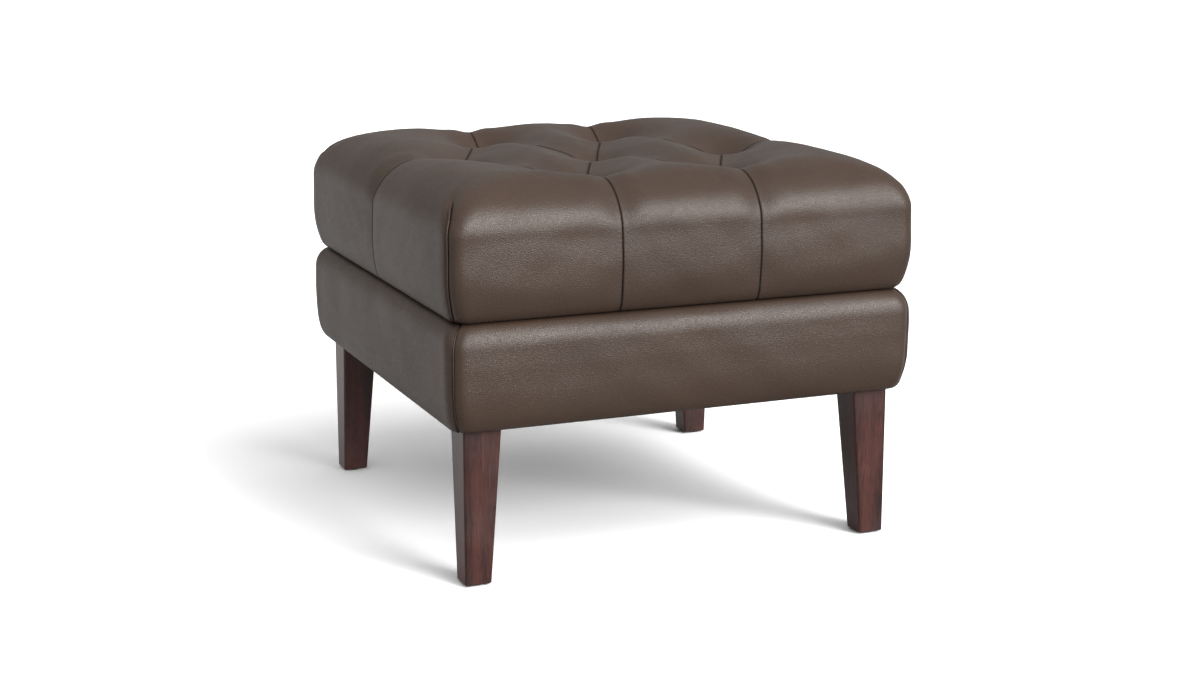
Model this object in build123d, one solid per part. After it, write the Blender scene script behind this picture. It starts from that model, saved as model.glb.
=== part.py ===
from build123d import *
from math import cos, hypot, radians, sin, sqrt, tan
import os

# A square upholstered ottoman coffee table in two tiers.
# A thick tufted cushion is fixed to a low padded box, which stands on four tapered legs.
# The origin is on the floor under the centre, +X is to the right, +Y to the back and +Z up.
# All sizes are in millimetres.

# Legs
leg_spread = 528.0  # from outer face to outer face
leg_top_size = 44.5
leg_foot_size = 31.0
leg_edge_radius = 2.5
foot_chamfer = 1.5
floor_clearance = 179.0  # from the floor to the underside of the base
glide_radius = 11.0
glide_thickness = 2.0
glide_pin_radius = 1.4
glide_pin_length = 14.0

# Base frame
rail_thickness = 18.0
rail_edge_radius = 3.0
block_side = 85.0  # along each rail
block_blunt_end = 12.0
block_height = 32.0
cleat_width = 25.0
cleat_height = 25.0
cleat_end_gap = 31.0  # from each end of a cleat to the rail beyond it

# Base upholstery
base_height = 121.0
base_overhang = 22.0  # of the bulge beyond the frame
base_top_ledge = 4.0  # from the frame to where the top roll ends
base_top_roll_height = 38.0
base_foot_ledge = 2.0  # from the frame to where the foot roll ends
base_foot_roll_height = 46.0
base_corner_radius = 24.0
leather_thickness = 1.3
turned_edge_gap = 2.0  # the turned-in leather stops this far short of the rails' inner faces
dust_thickness = 0.8
dust_margin = 6.0  # the dust cover stops this far inside the rails' outer faces

# Cushion
seat_height = 157.0
seat_overhang = 24.0  # of the cushion beyond the frame
seat_foot_roll_width = 18.0
seat_foot_roll_height = 27.0
seat_top_roll_width = 84.0
seat_top_roll_height = 60.0
seat_corner_radius = 30.0
seat_corner_growth = 34.0  # how much rounder each corner is at the top of its roll
crown_height = 16.0  # the panels' crowns above their seams
shoulder_width = 50.0  # from a seam to where its panel's crown is level
channel_radius = 4.0  # rounding of a panel where a seam runs down the side
pocket_radius = 2.0  # rounding of a panel's corner where it meets a tuft
pocket_growth = 22.0
seat_turned_edge = 26.0
board_thickness = 15.0
side_fill = 26.0  # from the cushion's sides to the foam and the board
board_corner_radius = 25.0
top_fill = 45.7  # from the cushion's top down to the foam

# Tufts
tuft_margin = 114.0  # from the cushion's sides to the outer tufts
tuft_spacing = 84.5  # from the middle to the tufts of the front and back rows
dip_depth = 30.0
dip_radius = 40.0
dip_floor_radius = 4.0
twine_radius = 1.5
knot_radius = 3.0
knot_height = 3.0
washer_radius = 10.0
washer_thickness = 1.5
board_hole_radius = 4.0

# Corner welts
welt_thickness = 2.8
welt_proud = 1.0
welt_depth = 9.0
welt_pinch = 26.0  # the cushion's welts end this far below its top
welt_start = 9.0  # and start this far above its underside

# Hardware
bolt_radius = 4.0
bolt_inset = 12.0  # from the rails' inner faces to the bolt's axis
bolt_in_leg = 36.0
bolt_tip = 3.0
nut_flange_radius = 9.5
nut_flange_thickness = 1.6
nut_barrel_radius = 5.4
nut_barrel_length = 11.0
screw_radius = 2.0
screw_head_radius = 4.0
screw_head_height = 2.6
screw_tip = 3.0
block_screw_length = 32.0
block_screw_seat = 22.0  # from the rail's inner face to the screw's head
block_screw_inset = 20.0  # from the end of the block
cleat_screw_length = 38.0
cleat_screw_margin = 40.0
seat_screw_length = 36.0
staple_width = 10.0
staple_wire = 1.2
staple_thickness = 0.6
staple_length = 8.0
staple_margin = 64.0  # from the end of a side to its last staple
staple_inset = 11.0  # from the rails' outer faces

# Clearances
fit_clearance = 0.1  # round pins, bolts, screws and staples
soft_gap = 0.3  # between the leather and what fills it
loose_clearance = 0.5  # round a bolt that only passes through
cut_overrun = 20.0

# Counts
cleat_screw_count = 4
seat_screw_count = 3
staples_per_side = 6
welt_level_count = 12

# Levels of the cushion's sections, each a share of the stretch that it belongs to
foot_roll_shares = (0, 0.34, 0.67, 1)
side_shares = (0.5, 1)
roll_shares = (0.35, 0.7, 1)
crown_shares = (0, 0.3, 0.6, 0.85)
block_row_shares = (0.3, 0.7)
corner_room_share = 0.45  # of a side, for the rounding of the corner at its end

quarter_turn = 90.0
eighth_turn = 45.0

# Sizes that follow from those above
frame_half = leg_spread / 2
rail_inner = frame_half - rail_thickness
frame_bottom = floor_clearance + dust_thickness + leather_thickness
seat_bottom = floor_clearance + base_height
frame_top = seat_bottom - leather_thickness
board_bottom = seat_bottom + leather_thickness
board_top = board_bottom + board_thickness
foam_top = seat_bottom + seat_height - top_fill
roll_start = seat_height - seat_top_roll_height
seam_level = seat_height - crown_height
nut_seat = frame_bottom + block_height
bolt_place = rail_inner - bolt_inset
base_half = frame_half + base_overhang  # half the width across the bulge
base_axis = base_half - base_corner_radius
base_foot_turn = dust_thickness + base_foot_roll_height
base_foot_roll_width = base_overhang - base_foot_ledge
base_foot_arc = (base_foot_roll_width**2 + base_foot_roll_height**2) / (2 * base_foot_roll_width)
base_top_turn = base_height - base_top_roll_height
base_top_roll_width = base_overhang - base_top_ledge
base_top_arc = (base_top_roll_width**2 + base_top_roll_height**2) / (2 * base_top_roll_width)
seat_half = frame_half + seat_overhang
board_half = seat_half - side_fill
tuft_row = seat_half - tuft_margin
cleat_inner = rail_inner - cleat_width
cleat_length = 2 * (rail_inner - cleat_end_gap)
washer_bottom = board_bottom - washer_thickness

tufts = {
    "front_left": (-tuft_spacing, -tuft_row),
    "front_right": (tuft_spacing, -tuft_row),
    "left": (-tuft_row, 0),
    "middle": (0, 0),
    "right": (tuft_row, 0),
    "back_left": (-tuft_spacing, tuft_row),
    "back_right": (tuft_spacing, tuft_row),
}


# General shapes

def block_between(low, high):
    """A box between its lowest and highest corners."""
    size = [b - a for a, b in zip(low, high)]
    middle = [(a + b) / 2 for a, b in zip(low, high)]
    return Pos(*middle) * Box(*size)


def rounded_block(half, radius, bottom, top):
    """A square block about the middle, with round upright edges."""
    outline = Pos(0, 0, bottom) * RectangleRounded(2 * half, 2 * half, radius)
    return extrude(outline, top - bottom)


def post(radius, bottom, top, place=(0, 0)):
    """An upright round post at a place in plan."""
    return Pos(place[0], place[1], (bottom + top) / 2) * Cylinder(radius, top - bottom)


def turned(*outline):
    """A body turned about the upright axis from points of radius and height."""
    face = make_face(Polyline(*[(r, 0, z) for r, z in outline], close=True))
    return revolve(face, Axis.Z)


def four_corners(shape):
    """Name and mirror what is made for the back right corner into all four corners."""
    right = {"back_right": shape, "front_right": mirror(shape, about=Plane.XZ)}
    left = {
        name.replace("right", "left"): mirror(solid, about=Plane.YZ)
        for name, solid in right.items()
    }
    return right | left


def four_sides(shape):
    """Name and turn what is made for the right side onto all four sides."""
    names = ("right", "back", "left", "front")
    return {name: Rot(0, 0, quarter_turn * turn) * shape for turn, name in enumerate(names)}


def screw(length, grow=0.0):
    """A countersunk screw down the Z axis with its head's top at the origin, or its hole."""
    return turned(
        (0, 0),
        (screw_head_radius + grow, 0),
        (screw_radius + grow, -screw_head_height),
        (screw_radius + grow, screw_tip - length),
        (0, -length - grow),
    )


# Legs and their hardware

def leg():
    """The back right leg: two upright outer faces and two tapered inner ones."""
    sections = []
    for size, height in ((leg_foot_size, glide_thickness), (leg_top_size, floor_clearance)):
        centre = frame_half - size / 2
        sections.append(Pos(centre, centre, height) * Rectangle(size, size))
    body = loft(sections, ruled=True)
    height = floor_clearance - glide_thickness
    long_edges = [e for e in body.edges() if e.bounding_box().size.Z > height / 2]
    body = fillet(long_edges, leg_edge_radius)
    body = chamfer(body.faces().sort_by(Axis.Z)[0].edges(), foot_chamfer)
    bolt_hole = post(
        bolt_radius + fit_clearance,
        floor_clearance - bolt_in_leg - fit_clearance,
        floor_clearance + cut_overrun,
        (bolt_place, bolt_place),
    )
    foot = frame_half - leg_foot_size / 2
    pin_top = glide_thickness + glide_pin_length + fit_clearance
    pin_hole = post(glide_pin_radius + fit_clearance, 0, pin_top, (foot, foot))
    return body - bolt_hole - pin_hole


def glide():
    """A nail-on glide under the back right foot."""
    foot = frame_half - leg_foot_size / 2
    disc = post(glide_radius, 0, glide_thickness, (foot, foot))
    disc = chamfer(disc.edges().sort_by(Axis.Z)[0], glide_thickness / 2)
    pin = post(glide_pin_radius, 0, glide_thickness + glide_pin_length, (foot, foot))
    return disc + pin


def hanger_bolt():
    """The bolt from the back right leg up through its corner block."""
    bottom = floor_clearance - bolt_in_leg
    top = nut_seat + nut_flange_thickness + bolt_tip
    body = turned(
        (0, bottom),
        (bolt_radius / 2, bottom),
        (bolt_radius, bottom + bolt_tip),
        (bolt_radius, top - bolt_tip / 2),
        (bolt_radius / 2, top),
        (0, top),
    )
    return Pos(bolt_place, bolt_place, 0) * body


def tee_nut():
    """The nut pressed into the top of the back right corner block."""
    top = nut_seat + nut_flange_thickness
    flange = post(nut_flange_radius, nut_seat, top, (bolt_place, bolt_place))
    barrel = post(nut_barrel_radius, nut_seat - nut_barrel_length, top, (bolt_place, bolt_place))
    bore = post(
        bolt_radius + fit_clearance,
        nut_seat - nut_barrel_length - cut_overrun,
        top + cut_overrun,
        (bolt_place, bolt_place),
    )
    return flange + barrel - bore


# Base frame

def block_screws(grow=0.0):
    """The screws from the back right corner block into its two rails, or their holes."""
    along = rail_inner - block_side + block_screw_inset
    head = rail_inner - block_screw_seat
    screws = []
    for share in block_row_shares:
        height = frame_bottom + block_height * share
        into_back = Rot(quarter_turn, 0, 0) * screw(block_screw_length, grow)
        screws.append(Pos(along, head, height) * into_back)
        into_right = Rot(0, -quarter_turn, 0) * screw(block_screw_length, grow)
        screws.append(Pos(head, along, height) * into_right)
    return screws


def head_bores():
    """The wide bores that let the block screws' heads in from the block's slanted face."""
    along = rail_inner - block_side + block_screw_inset
    head = rail_inner - block_screw_seat
    radius = screw_head_radius + fit_clearance
    bores = []
    for share in block_row_shares:
        height = frame_bottom + block_height * share
        bore = Cylinder(radius, cut_overrun)
        bores.append(Pos(along, head - cut_overrun / 2, height) * Rot(quarter_turn, 0, 0) * bore)
        bores.append(Pos(head - cut_overrun / 2, along, height) * Rot(0, quarter_turn, 0) * bore)
    return bores


def corner_block():
    """The back right corner block, with the holes for its bolt, nut and screws."""
    far = rail_inner - block_side
    blunt = rail_inner - block_blunt_end
    outline = Polyline(
        (rail_inner, rail_inner),
        (far, rail_inner),
        (far, blunt),
        (blunt, far),
        (rail_inner, far),
        close=True,
    )
    body = extrude(Pos(0, 0, frame_bottom) * make_face(outline), block_height)
    place = (bolt_place, bolt_place)
    through = post(bolt_radius + loose_clearance, 0, nut_seat + cut_overrun, place)
    barrel = post(
        nut_barrel_radius + fit_clearance,
        nut_seat - nut_barrel_length - fit_clearance,
        nut_seat + cut_overrun,
        place,
    )
    return body - through - barrel - block_screws(fit_clearance) - head_bores()


def cleat_screws(grow=0.0):
    """The screws through the right cleat into the right rail, or their holes."""
    height = seat_bottom - cleat_height / 2
    span = cleat_length - 2 * cleat_screw_margin
    screws = []
    for number in range(cleat_screw_count):
        along = span * (number / (cleat_screw_count - 1) - 1 / 2)
        lying = Rot(0, -quarter_turn, 0) * screw(cleat_screw_length, grow)
        screws.append(Pos(cleat_inner, along, height) * lying)
    return screws


def seat_screws(grow=0.0):
    """The screws up through the right cleat into the seat board, or their holes."""
    place = (rail_inner + cleat_inner) / 2
    span = cleat_length - 2 * cleat_screw_margin
    gap = span / (cleat_screw_count - 1)
    screws = []
    for number in range(seat_screw_count):
        along = gap * (number - (seat_screw_count - 1) / 2)
        upright = Rot(2 * quarter_turn, 0, 0) * screw(seat_screw_length, grow)
        screws.append(Pos(place, along, seat_bottom - cleat_height) * upright)
    return screws


def staples(grow=0.0):
    """The staples along the right side that hold the dust cover and the leather, or their slots."""
    across = frame_half - staple_inset
    reach = frame_half - staple_margin
    wire = staple_wire / 2 + grow
    shapes = []
    for number in range(staples_per_side):
        along = reach * (2 * number / (staples_per_side - 1) - 1)
        outer = staple_width / 2 + grow
        inner = staple_width / 2 - staple_thickness - grow
        low = floor_clearance - staple_thickness
        top = low + staple_length + grow
        shape = block_between((across - wire, along - outer, low), (across + wire, along + outer, top))
        cut_low = floor_clearance if grow == 0 else low - cut_overrun
        cut = block_between(
            (across - 2 * wire, along - inner, cut_low),
            (across + 2 * wire, along + inner, top + cut_overrun),
        )
        shapes.append(shape - cut)
    return shapes


def holes_on_all_sides(shapes):
    """Copies of the right side's shapes on every side."""
    return [Rot(0, 0, quarter_turn * turn) * shape for turn in range(4) for shape in shapes]


def rails():
    """The four rails: the front and back ones run through, the other two fit between them."""
    long_rail = block_between((-frame_half, rail_inner, frame_bottom), (frame_half, frame_half, frame_top))
    ends = [e for e in long_rail.edges().filter_by(Axis.Z) if e.center().Y > (rail_inner + frame_half) / 2]
    long_rail = fillet(ends, rail_edge_radius)
    short_rail = block_between((rail_inner, -rail_inner, frame_bottom), (frame_half, rail_inner, frame_top))
    corner_holes = Compound(block_screws(fit_clearance))
    screw_holes = [hole for corner in four_corners(corner_holes).values() for hole in corner]
    slots = holes_on_all_sides(staples(fit_clearance))
    cleat_holes = cleat_screws(fit_clearance)
    back = long_rail - screw_holes - slots
    right = short_rail - screw_holes - slots - cleat_holes
    return {
        "rail_back": back,
        "rail_front": mirror(back, about=Plane.XZ),
        "rail_right": right,
        "rail_left": mirror(right, about=Plane.YZ),
    }


def cleat():
    """The batten along the inside of the right rail that carries the seat board."""
    body = block_between(
        (cleat_inner, -cleat_length / 2, seat_bottom - cleat_height),
        (rail_inner, cleat_length / 2, seat_bottom),
    )
    return body - cleat_screws(fit_clearance) - seat_screws(fit_clearance)


# Base upholstery

def base_profile(inset, start):
    """The outer line of the base's right side, moved in by an inset, closed back to a start line."""
    low = dust_thickness + inset
    high = base_height - inset

    def on_arc(radius, turn, height):
        return base_half - radius + sqrt((radius - inset) ** 2 - (height - turn) ** 2)

    def arc(radius, turn, first, last):
        middle = (first + last) / 2
        heights = (first, middle, last)
        return ThreePointArc(*[(on_arc(radius, turn, h), 0, h) for h in heights])

    outer = [
        Line((start, 0, low), (on_arc(base_foot_arc, base_foot_turn, low), 0, low)),
        arc(base_foot_arc, base_foot_turn, low, base_foot_turn),
        Line((base_half - inset, 0, base_foot_turn), (base_half - inset, 0, base_top_turn)),
        arc(base_top_arc, base_top_turn, base_top_turn, high),
        Line((on_arc(base_top_arc, base_top_turn, high), 0, high), (start, 0, high)),
        Line((start, 0, high), (start, 0, low)),
    ]
    return Pos(0, 0, floor_clearance) * make_face(outer)


def base_side(inset):
    """The filled form of the base's right side, mitred where it meets its neighbours."""
    straight = extrude(base_profile(inset, rail_inner), base_axis, both=True, dir=(0, 1, 0))
    round_face = base_profile(inset, base_axis)
    edge_axis = Axis((base_axis, 0, 0), (0, 0, 1))
    corner = revolve(round_face, edge_axis, quarter_turn)
    back_end = Pos(0, base_axis, 0) * corner
    front_end = mirror(back_end, about=Plane.XZ)
    reach = 2 * base_half
    sector = make_face(Polyline((0, 0), (reach, -reach), (reach, reach), close=True))
    return (straight + back_end + front_end) & extrude(sector, 2 * seat_bottom)


def base_corner_reach(height):
    """How far the base's corner reaches along the diagonal at a height above its underside."""
    half = base_half
    if height < base_foot_turn:
        half += sqrt(base_foot_arc**2 - (base_foot_turn - height) ** 2) - base_foot_arc
    if height > base_top_turn:
        half += sqrt(base_top_arc**2 - (height - base_top_turn) ** 2) - base_top_arc
    return sqrt(2) * base_axis + half - base_axis


def welt(reach, bottom, top, proud):
    """A folded strip standing in the back right corner seam, its edge a little proud of the leather."""
    heights = [bottom + (top - bottom) * n / (welt_level_count - 1) for n in range(welt_level_count)]
    outer = [(reach(h) + proud, 0, h) for h in heights]
    inner = [(reach(h) - welt_depth, 0, h) for h in heights]
    outline = [
        Spline(*outer),
        Line(outer[-1], inner[-1]),
        Spline(*reversed(inner)),
        Line(inner[0], outer[0]),
    ]
    plate = extrude(make_face(outline), welt_thickness / 2, both=True, dir=(0, 1, 0))
    return Rot(0, 0, eighth_turn) * plate


def frame_space():
    """The space inside the rails' outer faces, at every height."""
    return block_between((-frame_half, -frame_half, 0), (frame_half, frame_half, 2 * seat_bottom))


def base_welt(proud=welt_proud):
    """The back right welt of the base, which stands on the outside of the frame."""
    top = base_height - leather_thickness - soft_gap
    strip = welt(base_corner_reach, dust_thickness + leather_thickness, top, proud)
    return Pos(0, 0, floor_clearance) * strip - frame_space()


def base_upholstery():
    """The four leather panels and the four foam pads of the base."""
    slots = [Rot(0, 0, quarter_turn * turn) * base_welt(cut_overrun) for turn in (0, -1)]
    form = base_side(0)
    space = base_side(leather_thickness)
    reach = rail_inner + turned_edge_gap
    middle = block_between((-reach, -reach, 0), (reach, reach, 2 * seat_bottom))
    cover = form - space - middle - slots - staples(fit_clearance)
    pad = base_side(leather_thickness + soft_gap) - frame_space() - slots
    covers = {f"base_cover_{name}": solid for name, solid in four_sides(cover).items()}
    pads = {f"base_pad_{name}": solid for name, solid in four_sides(pad).items()}
    return covers | pads


def dust_cover():
    """The thin cloth stapled under the frame, with holes for the leg bolts."""
    half = frame_half - dust_margin
    sheet = block_between((-half, -half, floor_clearance), (half, half, floor_clearance + dust_thickness))
    hole = post(bolt_radius + loose_clearance, 0, seat_bottom, (bolt_place, bolt_place))
    return sheet - list(four_corners(hole).values()) - holes_on_all_sides(staples(fit_clearance))


# Cushion

def seat_side(height, inset):
    """Half the cushion's width at a height above its underside."""
    if height < seat_foot_roll_height:
        share = (seat_foot_roll_height - height) / (seat_foot_roll_height - inset)
        reach = (seat_foot_roll_width - inset) * sqrt(max(0, 1 - share**2))
        return seat_half - seat_foot_roll_width + reach
    if height > roll_start:
        share = (height - roll_start) / (seat_top_roll_height - inset)
        reach = (seat_top_roll_width - inset) * sqrt(max(0, 1 - share**2))
        return seat_half - seat_top_roll_width + reach
    return seat_half - inset


def seat_corner(height, inset):
    """The corner radius of the cushion's outline at a height above its underside."""
    share = max(0, (height - roll_start) / seat_top_roll_height)
    return seat_corner_radius + seat_corner_growth * share**2 - inset


def seat_corner_reach(height):
    """How far the cushion's corner reaches along the diagonal at a height."""
    radius = seat_corner(height, 0)
    return sqrt(2) * (seat_side(height, 0) - radius) + radius


def moved_in(corners, insets):
    """The corners of an outline that turns left, after each side moves in by its own amount."""
    lines = []
    for n, (x, y) in enumerate(corners):
        next_x, next_y = corners[(n + 1) % len(corners)]
        length = hypot(next_x - x, next_y - y)
        normal = ((y - next_y) / length, (next_x - x) / length)
        lines.append((*normal, normal[0] * x + normal[1] * y + insets[n]))
    moved = []
    for n, (a, b, c) in enumerate(lines):
        before_a, before_b, before_c = lines[n - 1]
        cross = before_a * b - before_b * a
        moved.append(((before_c * b - before_b * c) / cross, (before_a * c - before_c * a) / cross))
    return moved


def limited_radii(corners, radii):
    """Corner radii no larger than the sides beside each corner leave room for."""
    limited = []
    for n, radius in enumerate(radii):
        here = Vector(*corners[n])
        before = Vector(*corners[n - 1]) - here
        after = Vector(*corners[(n + 1) % len(corners)]) - here
        half_angle = radians(before.get_angle(after)) / 2
        room = corner_room_share * min(before.length, after.length) * tan(half_angle)
        limited.append(min(radius, room))
    return limited


def panel_section(panel, height, seam_inset, inset):
    """The outline of one panel at a height above the cushion's underside."""
    corners, sides = panel
    side_inset = seat_half - seat_side(height, inset)
    insets = [seam_inset if side == "seam" else side_inset for side in sides]
    radii = []
    for n, side in enumerate(sides):
        kinds = {sides[n - 1], side}
        if kinds == {"outer"}:
            radii.append(seat_corner(height, inset))
        elif kinds == {"seam"}:
            radii.append(pocket_radius + pocket_growth * (seam_inset - inset) / shoulder_width)
        else:
            radii.append(channel_radius - inset + (seam_inset - inset) / 2)
    moved = moved_in(corners, insets)
    outline = FilletPolyline(*moved, radius=limited_radii(moved, radii), close=True)
    return Pos(0, 0, seat_bottom + height) * make_face(outline)


def panel_form(panel, inset):
    """The filled, crowned form of one panel, moved in by an inset.

    Its seam walls are upright up to the seams and then curve in to the crown.
    """
    whole_side = "outer" in panel[1]
    levels = [foam_top - seat_bottom]
    if whole_side:
        foot = seat_foot_roll_height - inset
        levels = [seat_foot_roll_height - foot * cos(radians(quarter_turn * s)) for s in foot_roll_shares]
        side = roll_start - seat_foot_roll_height
        levels += [seat_foot_roll_height + side * share for share in side_shares]
        levels += [roll_start + (seam_level - roll_start) * share for share in roll_shares]
    else:
        levels.append(seam_level)
    lower = loft([panel_section(panel, level, inset, inset) for level in levels], ruled=not whole_side)
    crown = []
    for share in crown_shares:
        angle = radians(quarter_turn * share)
        seam_inset = shoulder_width - (shoulder_width - inset) * cos(angle)
        level = seam_level + (crown_height - inset) * sin(angle)
        crown.append(panel_section(panel, level, seam_inset, inset))
    return lower + loft(crown)


def tuft_dip(inset):
    """The dip round one tuft, with convex sides, moved out by an inset."""
    run = dip_radius - dip_floor_radius
    arc_radius = (run**2 + dip_depth**2) / (2 * dip_depth)
    centre = seat_height - arc_radius
    floor = seat_height - dip_depth
    shrink = (arc_radius - inset) / arc_radius

    def on_arc(share):
        angle_height = (floor - centre) * (1 - share) + arc_radius * share
        height = angle_height * shrink
        across = sqrt((arc_radius * shrink) ** 2 - height**2)
        return (dip_radius - across, 0, centre + height)

    start = on_arc(0)
    middle = on_arc(1 / 2)
    end = on_arc(1)
    above = seat_height + cut_overrun
    outline = [
        Line((0, 0, start[2]), start),
        ThreePointArc(start, middle, end),
        Line(end, (end[0], 0, above)),
        Line((end[0], 0, above), (0, 0, above)),
        Line((0, 0, above), (0, 0, start[2])),
    ]
    return Pos(0, 0, seat_bottom) * revolve(make_face(outline), Axis.Z)


def tufts_of(panel, shape):
    """Copies of a shape at each tuft that a panel touches."""
    places = [place for place in tufts.values() if place in panel[0]]
    return [Pos(*place, 0) * shape for place in places]


def panels():
    """The plan outline of one panel of each kind, turning left, and what each side is."""
    outer = seat_half
    corner = (
        [
            tufts["back_right"],
            tufts["right"],
            (outer, 0),
            (outer, outer),
            (tuft_spacing, outer),
        ],
        ["seam", "seam", "outer", "outer", "seam"],
    )
    middle = (
        [
            tufts["middle"],
            tufts["back_right"],
            (tuft_spacing, outer),
            (-tuft_spacing, outer),
            tufts["back_left"],
        ],
        ["seam", "seam", "outer", "seam", "seam"],
    )
    diamond = (
        [tufts["middle"], tufts["front_right"], tufts["right"], tufts["back_right"]],
        ["seam", "seam", "seam", "seam"],
    )
    return corner, middle, diamond


def cover_and_fill(panel):
    """The leather of one panel and the fibre behind it."""
    core = rounded_block(board_half, board_corner_radius, board_bottom, foam_top)
    opening_half = board_half - seat_turned_edge
    opening = rounded_block(opening_half, board_corner_radius, seat_bottom - cut_overrun, board_top)
    bore = post(knot_radius + fit_clearance, foam_top - cut_overrun, seat_bottom + seat_height)
    slot = seat_welt(cut_overrun)
    bores = tufts_of(panel, bore)
    shapes = [panel_form(panel, inset) - tufts_of(panel, tuft_dip(inset))
              for inset in (0, leather_thickness, leather_thickness + soft_gap)]
    cover = shapes[0] - shapes[1] - core - opening - bores - slot
    fill = shapes[2] - core - bores - slot
    return cover, fill


def seat_welt(proud=welt_proud):
    """The back right welt of the cushion, which ends in a pinch near the top."""
    return Pos(0, 0, seat_bottom) * welt(seat_corner_reach, welt_start, seat_height - welt_pinch, proud)


def seat_upholstery():
    """The eight leather panels of the cushion and the eight pockets of fibre behind them."""
    corner, middle, diamond = panels()
    nodes = {}
    for kind, shape in zip(("cover", "fill"), cover_and_fill(corner)):
        nodes |= {f"seat_{kind}_{name}": solid for name, solid in four_corners(shape).items()}
    for kind, shape in zip(("cover", "fill"), cover_and_fill(middle)):
        nodes[f"seat_{kind}_back_middle"] = shape
        nodes[f"seat_{kind}_front_middle"] = mirror(shape, about=Plane.XZ)
    for kind, shape in zip(("cover", "fill"), cover_and_fill(diamond)):
        nodes[f"seat_{kind}_diamond_right"] = shape
        nodes[f"seat_{kind}_diamond_left"] = mirror(shape, about=Plane.YZ)
    return nodes


def seat_core():
    """The seat board and the foam on it, with holes for the twines and the screws."""
    board = rounded_block(board_half, board_corner_radius, board_bottom, board_top)
    foam = rounded_block(board_half, board_corner_radius, board_top, foam_top)
    for place in tufts.values():
        board -= post(board_hole_radius, seat_bottom, foam_top, place)
        foam -= post(twine_radius + soft_gap, seat_bottom, foam_top + cut_overrun, place)
    right = seat_screws(fit_clearance)
    board = board - right - [mirror(hole, about=Plane.YZ) for hole in right]
    return {"seat_board": board, "seat_foam": foam}


def tuft_ties():
    """The twine of each tuft, knotted at both ends, and its washer under the board."""
    tip = seat_bottom + seat_height - dip_depth
    knot_bottom = washer_bottom - knot_height
    twine = post(twine_radius, knot_bottom, tip)
    upper = post(knot_radius, tip - knot_height, tip)
    lower = post(knot_radius, knot_bottom, washer_bottom)
    tie = twine + upper + lower
    washer = post(washer_radius, washer_bottom, board_bottom)
    washer -= post(twine_radius + fit_clearance, washer_bottom - cut_overrun, board_bottom + cut_overrun)
    ties = [Pos(*place, 0) * tie for place in tufts.values()]
    washers = [Pos(*place, 0) * washer for place in tufts.values()]
    return {"tuft_twines": Compound(ties), "tuft_washers": Compound(washers)}


# The whole table

def hardware():
    """The fasteners, each kind as one group of separate solids."""
    corner_screws = [s for group in four_corners(Compound(block_screws())).values() for s in group.solids()]
    right_cleat = cleat_screws()
    right_seat = seat_screws()
    return {
        "block_screws": Compound(corner_screws),
        "cleat_screws": Compound(right_cleat + [mirror(s, about=Plane.YZ) for s in right_cleat]),
        "seat_screws": Compound(right_seat + [mirror(s, about=Plane.YZ) for s in right_seat]),
        "staples": Compound(holes_on_all_sides(staples())),
        "hanger_bolts": Compound(list(four_corners(hanger_bolt()).values())),
        "tee_nuts": Compound(list(four_corners(tee_nut()).values())),
        "foot_glides": Compound(list(four_corners(glide()).values())),
    }


def table():
    """Every node of the table by name."""
    nodes = {f"leg_{name}": solid for name, solid in four_corners(leg()).items()}
    nodes |= rails()
    nodes |= {f"corner_block_{name}": solid for name, solid in four_corners(corner_block()).items()}
    nodes |= {"cleat_right": cleat(), "cleat_left": mirror(cleat(), about=Plane.YZ)}
    nodes |= base_upholstery()
    nodes |= {f"base_welt_{name}": solid for name, solid in four_corners(base_welt()).items()}
    nodes["dust_cover"] = dust_cover()
    nodes |= seat_core()
    nodes |= seat_upholstery()
    nodes |= {f"seat_welt_{name}": solid for name, solid in four_corners(seat_welt()).items()}
    nodes |= tuft_ties()
    nodes |= hardware()
    return nodes


os.makedirs("parts", exist_ok=True)
for node, shape in table().items():
    export_step(shape, f"parts/{node}.step")
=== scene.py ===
import logging
import math
from dataclasses import dataclass, field
from enum import Enum

import bpy
import numpy as np
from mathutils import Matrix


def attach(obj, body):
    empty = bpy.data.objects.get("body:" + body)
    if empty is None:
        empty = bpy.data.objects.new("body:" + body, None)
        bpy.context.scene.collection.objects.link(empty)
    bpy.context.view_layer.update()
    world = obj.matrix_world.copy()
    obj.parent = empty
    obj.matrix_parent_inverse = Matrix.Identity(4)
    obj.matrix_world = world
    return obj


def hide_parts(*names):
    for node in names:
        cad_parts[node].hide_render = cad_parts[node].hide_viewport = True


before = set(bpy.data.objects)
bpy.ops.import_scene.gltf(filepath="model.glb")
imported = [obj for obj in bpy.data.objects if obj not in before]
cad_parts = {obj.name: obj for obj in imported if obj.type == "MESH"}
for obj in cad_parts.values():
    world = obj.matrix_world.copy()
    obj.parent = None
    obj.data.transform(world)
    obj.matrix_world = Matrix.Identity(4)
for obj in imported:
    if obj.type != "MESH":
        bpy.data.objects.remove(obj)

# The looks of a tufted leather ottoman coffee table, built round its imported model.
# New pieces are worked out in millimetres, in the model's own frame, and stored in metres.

log = logging.getLogger("ottoman")

MM = 0.001
BODY = "root"
TINY = 1e-9
FAR_OFF = 1e6

# Distances from a seam at which a panel's points stand, close together where the leather turns down
SEAM_STEPS = np.array([0.12, 0.4, 0.8, 1.3, 1.9, 2.7, 3.8, 5.4, 7.6, 10.5])

# Distances from the middle of a corner at which they stand on either side of it
CORNER_STEPS = np.array([0.0, 0.5, 1.0, 1.6, 2.3, 3.2, 4.4, 6.0, 8.4, 12.0])


class Seam(Enum):
    """The two kinds of line at which leather panels meet."""

    TUFTED = "between two tufts"
    PLAIN = "from a tuft over the edge and down the side"


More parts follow.
